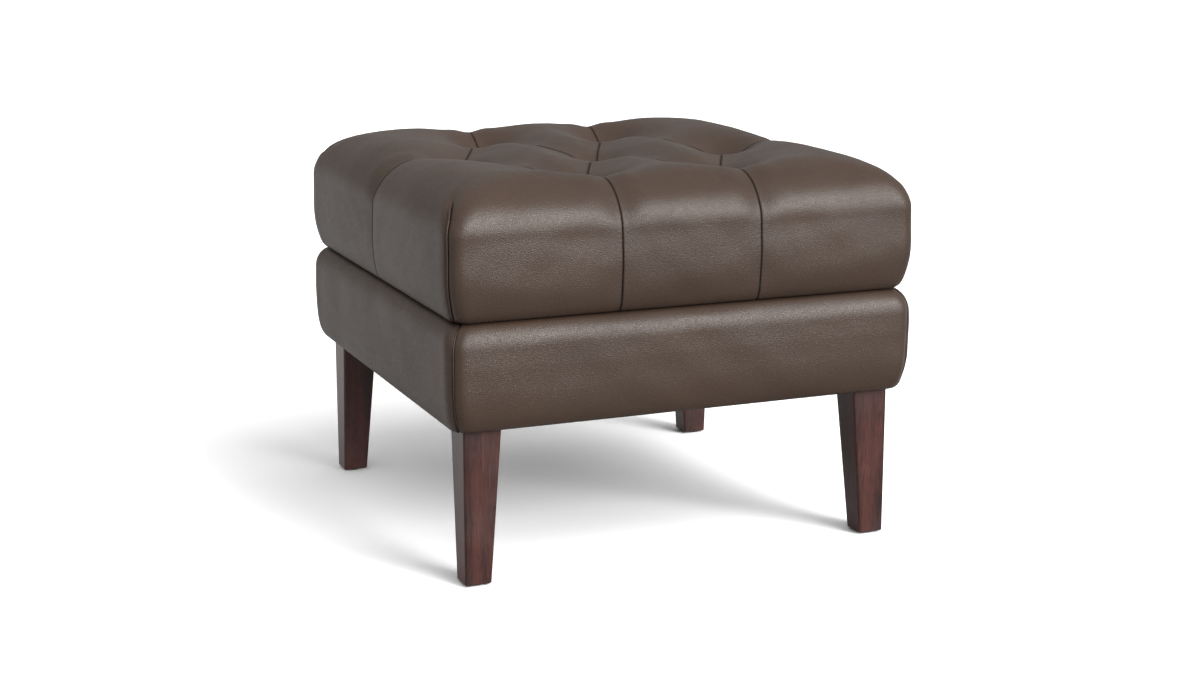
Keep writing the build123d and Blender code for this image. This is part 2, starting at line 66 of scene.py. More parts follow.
class Corner(Enum):
    """The four corners of the table, each with the signs of its X and Y."""

    BACK_RIGHT = (1, 1)
    BACK_LEFT = (-1, 1)
    FRONT_LEFT = (-1, -1)
    FRONT_RIGHT = (1, -1)

    @property
    def label(self) -> str:
        """The corner's name as the model's nodes spell it."""
        return self.name.lower()


class Side(Enum):
    """The four sides of the table, each with its quarter turns from the right side."""

    RIGHT = 0
    BACK = 1
    LEFT = 2
    FRONT = 3

    @property
    def label(self) -> str:
        """The side's name as the model's nodes spell it."""
        return self.name.lower()


# Arrays

def smooth_step(low: float, high: float, value: np.ndarray) -> np.ndarray:
    """Rise from nought at low to one at high, level at both ends: 3 t^2 - 2 t^3."""
    t = np.clip((value - low) / (high - low), 0, 1)
    return t * t * (3 - 2 * t)


def bell(value: np.ndarray, width: float) -> np.ndarray:
    """A bell curve that is one in the middle: exp(-(value / width)^2)."""
    return np.exp(-((value / width) ** 2))


def slow_waves(points: np.ndarray, wavelength: float, seed: int) -> np.ndarray:
    """Soft unevenness: the mean of six sine waves with seeded directions and phases.

    Args:
        points: Places, with three numbers each along the last axis.
        wavelength: The mean distance between crests, in the same unit.
        seed: Picks the directions, lengths and phases.

    Returns:
        One number per place, mostly between -1 and 1.
    """
    draw = np.random.default_rng(seed)
    total = np.zeros(points.shape[:-1])
    for _ in range(6):
        direction = draw.normal(size=3)
        direction /= np.linalg.norm(direction)
        length = wavelength * draw.uniform(0.6, 1.5)
        total += np.sin(2 * math.pi * (points @ direction) / length + draw.uniform(0, 2 * math.pi))
    return total / 3


def evenly(start: np.ndarray, end: np.ndarray, count: int) -> np.ndarray:
    """Even steps from one place to another, without these two."""
    share = np.linspace(0, 1, count + 2)[1:-1]
    return start * (1 - share) + end * share


def along_rows(value: np.ndarray, shape: tuple[int, ...]) -> np.ndarray:
    """One number per row, repeated along each row of a grid."""
    return np.broadcast_to(value[:, None], shape)


def square_grid(count: int) -> tuple[np.ndarray, ...]:
    """X and Y over a square grid, each from minus one to one."""
    share = np.linspace(-1, 1, count)
    return tuple(np.meshgrid(share, share, indexing="ij"))


def seam_to_seam(width: np.ndarray, middle: int) -> np.ndarray:
    """Positions from one seam to the next, close together near both.

    Args:
        width: The distance between the seams in each row.
        middle: How many even steps lie between the two close sets.

    Returns:
        One row of positions per width.
    """
    scale = np.minimum(1, width / (2.5 * SEAM_STEPS[-1]))[:, None]
    near = SEAM_STEPS * scale
    far = width[:, None] - near[:, ::-1]
    return np.concatenate([near, evenly(near[:, -1:], far[:, :1], middle), far], axis=1)


def round_the_corner(length: np.ndarray, corner: np.ndarray, middle: int) -> np.ndarray:
    """Positions from seam to seam that are close together at a corner between them too.

    Args:
        length: The whole distance in each row.
        corner: Where the corner lies along it.
        middle: How many even steps lie between close sets.

    Returns:
        One row of positions per length.
    """
    near = np.broadcast_to(SEAM_STEPS, (len(length), len(SEAM_STEPS)))
    far = length[:, None] - near[:, ::-1]
    bend = corner[:, None] + np.concatenate([-CORNER_STEPS[:0:-1], CORNER_STEPS])
    before = evenly(near[:, -1:], bend[:, :1], middle)
    after = evenly(bend[:, -1:], far[:, :1], middle)
    return np.concatenate([near, before, bend, after, far], axis=1)


def softened(line: np.ndarray, step: float, softness: float) -> np.ndarray:
    """Even steps along a broken line, each the bell-weighted mean of its surroundings.

    Args:
        line: The broken line's points, two numbers each.
        step: The distance between steps.
        softness: The bell's width.

    Returns:
        The softened line's points.
    """
    reach = 3 * softness
    ahead, behind = line[-1] - line[-2], line[0] - line[1]
    line = np.concatenate([
        [line[0] + behind / np.linalg.norm(behind) * reach], line,
        [line[-1] + ahead / np.linalg.norm(ahead) * reach],
    ])
    run = np.concatenate([[0], np.cumsum(np.linalg.norm(np.diff(line, axis=0), axis=1))])
    place = np.arange(0, run[-1], step)
    even = np.stack([np.interp(place, run, line[:, n]) for n in (0, 1)], axis=1)
    side = np.arange(-reach, reach + step / 2, step)
    weights = bell(side, softness)
    weights /= weights.sum()
    return np.stack([np.convolve(even[:, n], weights, "valid") for n in (0, 1)], axis=1)


# Meshes

@dataclass
class Surface:
    """A closed mesh as arrays.

    Attributes:
        points: Corners in millimetres, three numbers each.
        faces: Corner numbers, four to a face.
        values: Named numbers, one per corner, that the materials read.
    """

    points: np.ndarray
    faces: np.ndarray
    values: dict[str, np.ndarray] = field(default_factory=dict)

    def volume(self) -> float:
        """The enclosed volume, which is negative where the faces point inwards."""
        a, b, c, d = (self.points[self.faces[:, n]] for n in range(4))
        first = np.einsum("ij,ij->i", a, np.cross(b, c))
        second = np.einsum("ij,ij->i", a, np.cross(c, d))
        return float((first + second).sum() / 6)

    def outward(self) -> "Surface":
        """The same surface with its faces pointing outwards."""
        faces = self.faces if self.volume() > 0 else self.faces[:, ::-1]
        return Surface(self.points, faces, self.values)


def grid_faces(rows: int, columns: int, start: int = 0, around: bool = False) -> np.ndarray:
    """The faces of a grid whose corners are numbered row by row from a start.

    Args:
        rows: How many rows of corners.
        columns: How many corners in a row.
        start: The first corner's number.
        around: Whether each row closes on itself.

    Returns:
        Corner numbers, four to a face.
    """
    index = start + np.arange(rows * columns).reshape(rows, columns)
    if around:
        index = np.concatenate([index, index[:, :1]], axis=1)
    quads = np.stack([index[:-1, :-1], index[:-1, 1:], index[1:, 1:], index[1:, :-1]], axis=-1)
    return quads.reshape(-1, 4)


def closed_shell(outer: np.ndarray, inner: np.ndarray, values: dict[str, np.ndarray]) -> Surface:
    """Two grids of one shape, joined by a wall along their four edges.

    Args:
        outer: The grid that shows, as rows and columns of points.
        inner: The grid behind it.
        values: Named numbers for each point of the outer grid, repeated behind.

    Returns:
        A closed surface.
    """
    rows, columns = outer.shape[:2]
    count = rows * columns
    index = np.arange(count).reshape(rows, columns)
    loop = np.concatenate([index[0, :-1], index[:-1, -1], index[-1, :0:-1], index[:0:-1, 0]])
    ahead = np.roll(loop, -1)
    walls = np.stack([ahead, loop, loop + count, ahead + count], axis=-1)
    back = grid_faces(rows, columns, count)[:, ::-1]
    faces = np.concatenate([grid_faces(rows, columns), back, walls])
    points = np.concatenate([outer.reshape(-1, 3), inner.reshape(-1, 3)])
    doubled = {name: np.tile(value.reshape(-1), 2) for name, value in values.items()}
    return Surface(points, faces, doubled).outward()


def swept(path: np.ndarray, across: np.ndarray, out: np.ndarray, profile: np.ndarray) -> Surface:
    """A closed profile carried along a path, with its ends capped.

    A point is path + across * profile_x + out * profile_y.

    Args:
        path: Places along the middle line.
        across: The direction of the profile's first number at each place.
        out: The direction of its second number.
        profile: The profile's points at each place, as rows, with an even count.

    Returns:
        A closed surface.
    """
    points = path[:, None] + across[:, None] * profile[..., :1] + out[:, None] * profile[..., 1:]
    rows, columns = points.shape[:2]
    half = columns // 2
    faces = [grid_faces(rows, columns, around=True)]
    for row, flip in ((0, 1), (rows - 1, -1)):
        ring = row * columns + np.arange(columns)
        near, far = ring[:half], ring[half:][::-1]
        cap = np.stack([near[:-1], far[:-1], far[1:], near[1:]], axis=-1)
        faces.append(cap[:, ::flip])
    return Surface(points.reshape(-1, 3), np.concatenate(faces)).outward()


def joined(surfaces: list[Surface]) -> Surface:
    """Several closed surfaces as one mesh of separate shells."""
    starts = np.cumsum([0] + [len(s.points) for s in surfaces[:-1]])
    faces = np.concatenate([s.faces + start for s, start in zip(surfaces, starts)])
    return Surface(np.concatenate([s.points for s in surfaces]), faces)


@dataclass
class Piece:
    """One visible piece: its mesh, its finish and the model nodes that it stands for.

    Attributes:
        name: The piece's name.
        surface: Its closed surface, in millimetres.
        material: Its finish.
        slot: The name of a material slot; not used.
        nodes: The model nodes that it replaces.
        fill: How full a padded piece is, or None for a piece that isn't padded; not used.
    """

    name: str
    surface: Surface
    material: bpy.types.Material
    slot: str
    nodes: tuple[str, ...]
    fill: float | None = None

    def build(self) -> bpy.types.Object:
        mesh = bpy.data.meshes.new(self.name)
        points = np.asarray(self.surface.points * MM, dtype=np.float32)
        faces = np.ascontiguousarray(self.surface.faces, dtype=np.int32)
        mesh.vertices.add(len(points))
        mesh.vertices.foreach_set("co", points.ravel())
        mesh.loops.add(faces.size)
        mesh.loops.foreach_set("vertex_index", faces.ravel())
        mesh.polygons.add(len(faces))
        mesh.polygons.foreach_set("loop_start", np.arange(len(faces), dtype=np.int32) * faces.shape[1])
        mesh.polygons.foreach_set("use_smooth", np.ones(len(faces), dtype=bool))
        mesh.update(calc_edges=True)
        for name, value in self.surface.values.items():
            attribute = mesh.attributes.new(name, "FLOAT", "POINT")
            attribute.data.foreach_set("value", np.asarray(value, dtype=np.float32))
        mesh.materials.append(self.material)
        piece = bpy.data.objects.new(self.name, mesh)
        bpy.context.scene.collection.objects.link(piece)
        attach(piece, BODY)
        if self.nodes:
            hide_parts(*self.nodes)
        log.info("%s: %d faces", self.name, len(faces))
        return piece


# Finishes

class Tree:
    """A short way to add and join the nodes of one material or node group."""

    def __init__(self, tree: bpy.types.NodeTree) -> None:
        """Keep the tree that the nodes go into."""
        self.tree = tree

    def add(self, kind: str, inputs: dict | None = None, **settings: object) -> bpy.types.Node:
        """Add a node.

        Args:
            kind: Its type, such as ShaderNodeMath.
            inputs: Values or sockets for its inputs, by name or number.
            settings: Its own properties.

        Returns:
            The new node.
        """
        node = self.tree.nodes.new(kind)
        for name, value in settings.items():
            setattr(node, name, value)
        for name, value in (inputs or {}).items():
            self.put(value, node.inputs[name])
        return node

    def put(self, value: object, socket: bpy.types.NodeSocket) -> None:
        """Link another node's output to a socket, or set a value on it."""
        if isinstance(value, bpy.types.NodeSocket):
            self.tree.links.new(value, socket)
        else:
            socket.default_value = value

    def math(self, operation: str, *values: object, clamp: bool = False) -> bpy.types.NodeSocket:
        """Add a Math node and return its result."""
        inputs = dict(enumerate(values))
        return self.add("ShaderNodeMath", inputs, operation=operation, use_clamp=clamp).outputs[0]

    def times(self, first: object, second: object) -> bpy.types.NodeSocket:
        """Add a Math node that multiplies and return its result."""
        return self.math("MULTIPLY", first, second)

    def plus(self, first: object, second: object) -> bpy.types.NodeSocket:
        """Add a Math node that adds and return its result."""
        return self.math("ADD", first, second)

    def between(self, factor: object, first: object, second: object) -> bpy.types.NodeSocket:
        """Add a mix of two numbers and return its result."""
        return self.add("ShaderNodeMix", {0: factor, 2: first, 3: second}, data_type="FLOAT").outputs[0]

    def vector(self, operation: str, first: object, second: object) -> bpy.types.NodeSocket:
        """Add a Vector Math node and return its result."""
        return self.add("ShaderNodeVectorMath", {0: first, 1: second}, operation=operation).outputs[0]

    def wandered(self, vector: object, scale: float, detail: float, far: float) -> bpy.types.NodeSocket:
        """Move a vector a little by coloured noise and return the new one."""
        noise = self.add("ShaderNodeTexNoise", {"Vector": vector, "Scale": scale, "Detail": detail})
        return self.vector("ADD", vector, self.vector("MULTIPLY", noise.outputs["Color"], (far, far, far)))

    def bump(self, height: object, distance: float, strength: float,
             **normal: object) -> bpy.types.NodeSocket:
        """Add a Bump node, on an earlier one's Normal or on none, and return its normal."""
        inputs = {"Height": height, "Distance": distance, "Strength": strength, **normal}
        return self.add("ShaderNodeBump", inputs).outputs[0]

    def noise(self, vector: bpy.types.NodeSocket, scale: object, detail: float = 2.0,
              roughness: float = 0.5) -> bpy.types.NodeSocket:
        """Add a noise texture and return its value."""
        inputs = {"Vector": vector, "Scale": scale, "Detail": detail, "Roughness": roughness}
        return self.add("ShaderNodeTexNoise", inputs).outputs["Fac"]

    def spread(self, value: object, low: float, high: float, to_low: float = 0.0,
               to_high: float = 1.0) -> bpy.types.NodeSocket:
        """Add a smooth Map Range node and return its result."""
        inputs = {"Value": value, "From Min": low, "From Max": high, "To Min": to_low, "To Max": to_high}
        return self.add("ShaderNodeMapRange", inputs, interpolation_type="SMOOTHSTEP").outputs["Result"]

    def mix(self, factor: object, first: object, second: object, blend: str = "MIX") -> bpy.types.NodeSocket:
        """Add a colour mix and return its result."""
        node = self.add("ShaderNodeMix", data_type="RGBA", blend_type=blend)
        for number, value in ((0, factor), (6, first), (7, second)):
            self.put(value, node.inputs[number])
        return node.outputs[2]


def new_group(name: str, inputs: dict[str, object], outputs: tuple[str, ...]) -> tuple[Tree, dict, dict]:
    """Start a shader node group with named sockets.

    Args:
        name: The group's name.
        inputs: Each input's name with its first value, or None for a vector.
        outputs: The names of the outputs, which are all single numbers.

    Returns:
        The group's tree, its inputs inside, and the output node's sockets.
    """
    tree = bpy.data.node_groups.new(name, "ShaderNodeTree")
    for label, value in inputs.items():
        kind = "NodeSocketVector" if value is None else "NodeSocketFloat"
        socket = tree.interface.new_socket(name=label, in_out="INPUT", socket_type=kind)
        if value is not None:
            socket.default_value = value
    for label in outputs:
        tree.interface.new_socket(name=label, in_out="OUTPUT", socket_type="NodeSocketFloat")
    entry = tree.nodes.new("NodeGroupInput")
    leave = tree.nodes.new("NodeGroupOutput")
    return Tree(tree), dict(entry.outputs.items()), dict(leave.inputs.items())


class Effects:
    """The effects that several finishes share, each a node group built once."""

    def __init__(self) -> None:
        """Build every group."""
        self.grain = self.leather_grain()
        self.drift = self.colour_drift()
        self.seam = self.seam_painted_shade()
        self.wood = self.wood_grain()
        self.weave = self.cloth_weave()
        self.dust = self.settled_dust()

    @staticmethod
    def leather_grain() -> bpy.types.NodeTree:
        """Pebbles: rounded cells with fine creases between them, and finer pores on top."""
        tree, entry, leave = new_group(
            "leather_grain", {"Vector": None, "Scale": 700.0, "Pores": 0.3}, ("Height", "Crease")
        )
        place = tree.wandered(entry["Vector"], 260.0, 1.0, 0.0016)
        cells = tree.add("ShaderNodeTexVoronoi", {"Vector": place, "Scale": entry["Scale"]},
                         feature="DISTANCE_TO_EDGE")
        pebble = tree.spread(cells.outputs["Distance"], 0.0, 0.32)
        pores = tree.noise(place, tree.times(entry["Scale"], 2.6), 2.0, 0.6)
        height = tree.plus(pebble, tree.times(pores, entry["Pores"]))
        crease = tree.math("SUBTRACT", 1.0, pebble, clamp=True)
        tree.put(height, leave["Height"])
        tree.put(crease, leave["Crease"])
        return tree.tree

    @staticmethod
    def colour_drift() -> bpy.types.NodeTree:
        """Uneven tone: broad clouds mixed with finer mottling, from nought to one."""
        tree, entry, leave = new_group(
            "colour_drift", {"Vector": None, "Scale": 9.0, "Fine": 0.35}, ("Factor",)
        )
        broad = tree.noise(entry["Vector"], entry["Scale"], 3.0, 0.55)
        fine = tree.noise(entry["Vector"], tree.times(entry["Scale"], 14.0), 3.0, 0.6)
        mixed = tree.between(entry["Fine"], broad, fine)
        tree.put(tree.spread(mixed, 0.3, 0.7), leave["Factor"])
        return tree.tree

    @staticmethod
    def seam_painted_shade() -> bpy.types.NodeTree:
        """Painted shade and small puckers along a seam, from the distance to it and the place along it."""
        tree, entry, leave = new_group(
            "seam_painted_shade", {"Distance": 100.0, "Along": 0.0, "Width": 3.0, "Stitch": 5.0}, ("Mask", "Pucker")
        )
        share = tree.math("DIVIDE", entry["Distance"], entry["Width"])
        mask = tree.math("SUBTRACT", 1.0, tree.spread(share, 0.15, 1.0), clamp=True)
        turn = tree.math("DIVIDE", tree.times(entry["Along"], 2 * math.pi), entry["Stitch"])
        wave = tree.times(tree.math("SINE", turn), 0.5)
        fade = tree.math("SUBTRACT", 1.0, tree.spread(share, 0.5, 3.0), clamp=True)
        tree.put(mask, leave["Mask"])
        tree.put(tree.times(wave, fade), leave["Pucker"])
        return tree.tree

    @staticmethod
    def wood_grain() -> bpy.types.NodeTree:
        """Upright grain: stretched figure, fine fibres and short dark pores."""
        tree, entry, leave = new_group(
            "wood_grain", {"Vector": None, "Stretch": 0.06, "Figure": 55.0}, ("Tone", "Pore", "Height")
        )
        long_way = tree.add("ShaderNodeCombineXYZ", {0: 1.0, 1: 1.0, 2: entry["Stretch"]}).outputs[0]
        bent = tree.wandered(tree.vector("MULTIPLY", entry["Vector"], long_way), 30.0, 2.0, 0.012)
        figure = tree.noise(bent, entry["Figure"], 4.0, 0.6)
        fibre = tree.noise(bent, tree.times(entry["Figure"], 14.0), 3.0, 0.65)
        pore = tree.noise(bent, tree.times(entry["Figure"], 22.0), 1.0, 0.5)
        mark = tree.spread(pore, 0.58, 0.72)
        tone = tree.plus(tree.times(figure, 0.6), tree.times(fibre, 0.4))
        tree.put(tree.spread(tone, 0.34, 0.66), leave["Tone"])
        tree.put(mark, leave["Pore"])
        height = tree.math("SUBTRACT", tree.times(fibre, 0.5), tree.times(mark, 0.8))
        tree.put(height, leave["Height"])
        return tree.tree

    @staticmethod
    def cloth_weave() -> bpy.types.NodeTree:
        """A plain weave: crossed threads that pass over and under one another."""
        tree, entry, leave = new_group("cloth_weave", {"Vector": None, "Threads": 900.0}, ("Height", "Gap"))
        scaled = tree.add("ShaderNodeVectorMath", {0: entry["Vector"], "Scale": entry["Threads"]},
                          operation="SCALE")
        parts = tree.add("ShaderNodeSeparateXYZ", {0: scaled.outputs[0]})
        turned = [tree.times(parts.outputs[n], math.pi) for n in (0, 1)]
        first = tree.math("ABSOLUTE", tree.math("SINE", turned[0]))
        second = tree.math("ABSOLUTE", tree.math("SINE", turned[1]))
        over = tree.times(tree.math("COSINE", turned[0]), tree.math("COSINE", turned[1]))
        side = tree.spread(over, -0.4, 0.4)
        tree.put(tree.between(side, first, second), leave["Height"])
        hole = tree.math("MAXIMUM", first, second)
        tree.put(tree.math("SUBTRACT", 1.0, tree.spread(hole, 0.2, 0.7)), leave["Gap"])
        return tree.tree

    @staticmethod
    def settled_dust() -> bpy.types.NodeTree:
        """A light film of dust in patches."""
        tree, entry, leave = new_group("settled_dust", {"Vector": None, "Amount": 0.2}, ("Mask",))
        patch = tree.spread(tree.noise(entry["Vector"], 14.0, 3.0, 0.6), 0.42, 0.75)
        speck = tree.spread(tree.noise(entry["Vector"], 900.0, 2.0, 0.6), 0.5, 0.75)
        both = tree.times(tree.plus(patch, tree.times(speck, 0.4)), entry["Amount"])
        tree.put(both, leave["Mask"])
        return tree.tree


def start_material(name: str) -> tuple[bpy.types.Material, Tree, bpy.types.Node, bpy.types.NodeSocket]:
    """Start a material.

    Args:
        name: The material's name.

    Returns:
        The material, its tree, its shader and the object coordinates.
    """
    material = bpy.data.materials.new(name)
    material.use_nodes = True
    tree = Tree(material.node_tree)
    shader = material.node_tree.nodes["Principled BSDF"]
    place = tree.add("ShaderNodeTexCoord").outputs["Object"]
    return material, tree, shader, place


def use_group(tree: Tree, group: bpy.types.NodeTree, **inputs: object) -> bpy.types.Node:
    """Place a node group in a tree and set its inputs by name."""
    return tree.add("ShaderNodeGroup", inputs, node_tree=group)


@dataclass(frozen=True)
class Leather:
    """Smooth, finely pebbled upholstery leather, with painted shade in its seams and between its pebbles.

    Attributes:
        name: The material's name.
        dark: The deeper tone of its colour.
        light: The paler tone.
        blush: The cooler, pinker tone of broad patches.
        roughness: How matt it is.
        grain: Pebbles to the metre.
        grain_depth: How deep they are, in metres.
        crease_painted_shade: The painted shade between pebbles, as a share of the deeper tone.
        crease_amount: How much of that painted shade shows.
        seam_painted_shade: The painted shade in a seam, as shares of the deeper tone's red, green and blue.
        seam_amount: How much of that painted shade shows.
    """

    name: str
    dark: tuple[float, float, float] = (0.0515, 0.0312, 0.0207)
    light: tuple[float, float, float] = (0.0635, 0.0392, 0.0262)
    blush: tuple[float, float, float] = (0.058, 0.0365, 0.029)
    roughness: float = 0.375
    grain: float = 520.0
    grain_depth: float = 0.00019
    crease_painted_shade: float = 0.45
    crease_amount: float = 0.2
    seam_painted_shade: tuple[float, float, float] = (0.3, 0.22, 0.2)
    seam_amount: float = 0.8

    def build(self, effects: Effects) -> bpy.types.Material:
        """Make the material."""
        material, tree, shader, place = start_material(self.name)
        pebble = use_group(tree, effects.grain, Vector=place, Scale=self.grain)
        tone = use_group(tree, effects.drift, Vector=place, Scale=7.0, Fine=0.3)
        blush = use_group(tree, effects.drift, Vector=place, Scale=16.0, Fine=0.15)
        distance = tree.add("ShaderNodeAttribute", attribute_name="seam_distance").outputs["Fac"]
        along = tree.add("ShaderNodeAttribute", attribute_name="seam_along").outputs["Fac"]
        seam = use_group(tree, effects.seam, Distance=distance, Along=along)
        even = tree.mix(tone.outputs["Factor"], (*self.dark, 1), (*self.light, 1))
        colour = tree.mix(tree.times(blush.outputs["Factor"], 0.3), even, (*self.blush, 1))
        # Painted shade: the creases between pebbles are darkened towards a share of the deeper tone.
        between = [self.crease_painted_shade * part for part in self.dark]
        with_painted_crease_shade = tree.mix(tree.times(pebble.outputs["Crease"], self.crease_amount), colour, (*between, 1))
        # Painted shade: the colour is darkened within a few millimetres of each seam, where its groove lies.
        inside = [share * part for share, part in zip(self.seam_painted_shade, self.dark)]
        with_painted_seam_shade = tree.mix(tree.times(seam.outputs["Mask"], self.seam_amount), with_painted_crease_shade, (*inside, 1))
        tree.put(with_painted_seam_shade, shader.inputs["Base Color"])
        worn = tree.times(tone.outputs["Factor"], -0.06)
        rough = tree.plus(tree.times(pebble.outputs["Crease"], 0.12), worn)
        matt = tree.plus(rough, self.roughness)
        tree.put(tree.plus(matt, tree.times(seam.outputs["Mask"], 0.15)), shader.inputs["Roughness"])
        shader.inputs["Specular IOR Level"].default_value = 0.4
        small = tree.bump(pebble.outputs["Height"], self.grain_depth, 0.55)
        wide = tree.bump(tree.noise(place, scale=26.0), 0.0006, 0.35, Normal=small)
        pucker = tree.bump(seam.outputs["Pucker"], 0.00015, 0.35, Normal=wide)
        tree.put(pucker, shader.inputs["Normal"])
        return material


@dataclass(frozen=True)
class Wood:
    """Stained and lacquered wood, or bare frame timber.

    Attributes:
        name: The material's name.
        dark: The colour between the fibres.
        light: The colour of the fibres.
        pore: The colour of the pores.
        roughness: How matt it is.
        coat: How much lacquer lies over it.
        figure: How fine the figure is.
        stretch: How far the grain is drawn out along Z.
    """

    name: str
    dark: tuple[float, float, float]
    light: tuple[float, float, float]
    pore: tuple[float, float, float]
    roughness: float = 0.4
    coat: float = 0.0
    figure: float = 55.0
    stretch: float = 0.06

    def build(self, effects: Effects) -> bpy.types.Material:
        """Make the material."""
        material, tree, shader, place = start_material(self.name)
        grain = use_group(tree, effects.wood, Vector=place, Stretch=self.stretch, Figure=self.figure)
        dust = use_group(tree, effects.dust, Vector=place, Amount=0.03)
        tone = tree.mix(grain.outputs["Tone"], (*self.dark, 1), (*self.light, 1))
        pored = tree.mix(tree.times(grain.outputs["Pore"], 0.6), tone, (*self.pore, 1))
        dusty = tree.mix(dust.outputs["Mask"], pored, (0.45, 0.42, 0.4, 1))
        tree.put(dusty, shader.inputs["Base Color"])
        rough = tree.plus(self.roughness, tree.times(grain.outputs["Tone"], 0.08))
        tree.put(rough, shader.inputs["Roughness"])
        shader.inputs["Coat Weight"].default_value = self.coat
        shader.inputs["Coat Roughness"].default_value = 0.3
        shader.inputs["Coat IOR"].default_value = 1.37
        shader.inputs["Specular IOR Level"].default_value = 0.3
        tree.put(tree.bump(grain.outputs["Height"], 0.00018, 0.4), shader.inputs["Normal"])
        return material


@dataclass(frozen=True)
class Cloth:
    """Thin woven or bonded cloth.

    Attributes:
        name: The material's name.
        thread: The colour of its threads.
        gap: The colour between them.
        threads: Threads to the metre.
    """

    name: str
    thread: tuple[float, float, float]
    gap: tuple[float, float, float]
    threads: float = 900.0

    def build(self, effects: Effects) -> bpy.types.Material:
        """Make the material."""
        material, tree, shader, place = start_material(self.name)
        weave = use_group(tree, effects.weave, Vector=place, Threads=self.threads)
        dust = use_group(tree, effects.dust, Vector=place, Amount=0.12)
        tone = tree.mix(weave.outputs["Gap"], (*self.thread, 1), (*self.gap, 1))
        tree.put(tree.mix(dust.outputs["Mask"], tone, (0.3, 0.29, 0.28, 1)), shader.inputs["Base Color"])
        shader.inputs["Roughness"].default_value = 0.9
        shader.inputs["Sheen Weight"].default_value = 0.2
        tree.put(tree.bump(weave.outputs["Height"], 0.0003, 0.6), shader.inputs["Normal"])
        return material


@dataclass(frozen=True)
class Mottled:
    """A plain substance with uneven tone and a fine surface, such as foam, twine, zinc or plastic.

    Attributes:
        name: The material's name.
        dark: Its deeper tone.
        light: Its paler tone.
        roughness: How matt it is.
        metallic: One for bare metal.
        scale: How fine its unevenness is.
        depth: How deep the surface's unevenness is, in metres.
    """

    name: str
    dark: tuple[float, float, float]
    light: tuple[float, float, float]
    roughness: float = 0.5
    metallic: float = 0.0
    scale: float = 60.0
    depth: float = 0.0002

    def build(self, effects: Effects) -> bpy.types.Material:
        """Make the material."""
        material, tree, shader, place = start_material(self.name)
        tone = use_group(tree, effects.drift, Vector=place, Scale=self.scale, Fine=0.5)
        dust = use_group(tree, effects.dust, Vector=place, Amount=0.08)
        colour = tree.mix(tone.outputs["Factor"], (*self.dark, 1), (*self.light, 1))
        tree.put(tree.mix(dust.outputs["Mask"], colour, (0.4, 0.39, 0.37, 1)), shader.inputs["Base Color"])
        rough = tree.plus(self.roughness, tree.times(tone.outputs["Factor"], 0.12))
        tree.put(rough, shader.inputs["Roughness"])
        shader.inputs["Metallic"].default_value = self.metallic
        fine = tree.noise(place, self.scale * 12.0, 3.0, 0.6)
        tree.put(tree.bump(fine, self.depth, 0.5), shader.inputs["Normal"])
        return material


# The leather's shared forms

def lifted(plan: np.ndarray, height: np.ndarray | float) -> np.ndarray:
    """Places in plan with a height added, which may be one number for all of them."""
    tall = np.broadcast_to(height, plan.shape[:-1])
    return np.concatenate([plan, tall[..., None]], axis=-1)


def turned_down(distance: np.ndarray, radius: float) -> np.ndarray:
    """How far leather turns down at a seam: a quarter circle r - sqrt(r^2 - (r - d)^2)."""
    short = np.clip(radius - distance, 0, radius)
    return radius - np.sqrt(radius * radius - short * short)


@dataclass(frozen=True)
class Rows:
    """The rows of points across a tier's side, with one number per row in each array.

    Attributes:
        half: The outline's half width.
        height: The height.
        out: The outward part of the normal.
        up: Its upward part.
    """

    half: np.ndarray
    height: np.ndarray
    out: np.ndarray
    up: np.ndarray

    @classmethod
    def along(cls, line: np.ndarray, rising: int) -> "Rows":
        """The rows along a profile, with normals from its slope.

        Args:
            line: Half widths with heights.
            rising: 1 where the line climbs up the side, -1 where it comes down.

        Returns:
            The rows.
        """
        half, height = line.T
        out, up = rising * np.gradient(height), -rising * np.gradient(half)
        size = np.hypot(out, up) + TINY
        return cls(half, height, out / size, up / size)

    def resampled(self, keep: np.ndarray, count: int) -> "Rows":
        """Some of the rows, read off at evenly spaced places.

        Args:
            keep: Which rows, as true or false.
            count: How many rows to give.

        Returns:
            The new rows.
        """
        fine, grid = np.linspace(0, 1, count), np.linspace(0, 1, int(keep.sum()))
        values = (self.half, self.height, self.out, self.up)
        return Rows(*(np.interp(fine, grid, value[keep]) for value in values))


@dataclass(frozen=True)
class Crease:
    """The crease in which a corner welt stands: a narrow groove in a wide one, with a swell beside them.

    Attributes:
        depth: The narrow groove's depth.
        width: Its width.
        wide_depth: The wide groove's depth.
        wide_width: Its width.
        swell: The swell's height.
        swell_place: Its distance from the seam.
        swell_width: Its width.
    """

    depth: float
    width: float
    wide_depth: float
    wide_width: float
    swell: float = 0.5
    swell_place: float = 16.0
    swell_width: float = 9.0

    def sunk(self, distance: np.ndarray) -> np.ndarray:
        """How far the leather lies below the plain form at a distance from the seam."""
        groove = self.depth * bell(distance, self.width) + self.wide_depth * bell(distance, self.wide_width)
        return groove - self.swell * bell(distance - self.swell_place, self.swell_width)


@dataclass(frozen=True)
class Waves:
    """The leather's slight unevenness: broad waves with small ones on them.

    Attributes:
        broad: The broad waves' height and length.
        small: The small waves' height and length.
    """

    broad: tuple[float, float]
    small: tuple[float, float]

    def at(self, points: np.ndarray, seed: int) -> np.ndarray:
        """The waves' height at each place, from a seed and the one after it."""
        sets = enumerate((self.broad, self.small))
        return sum(height * slow_waves(points, length, seed + number) for number, (height, length) in sets)


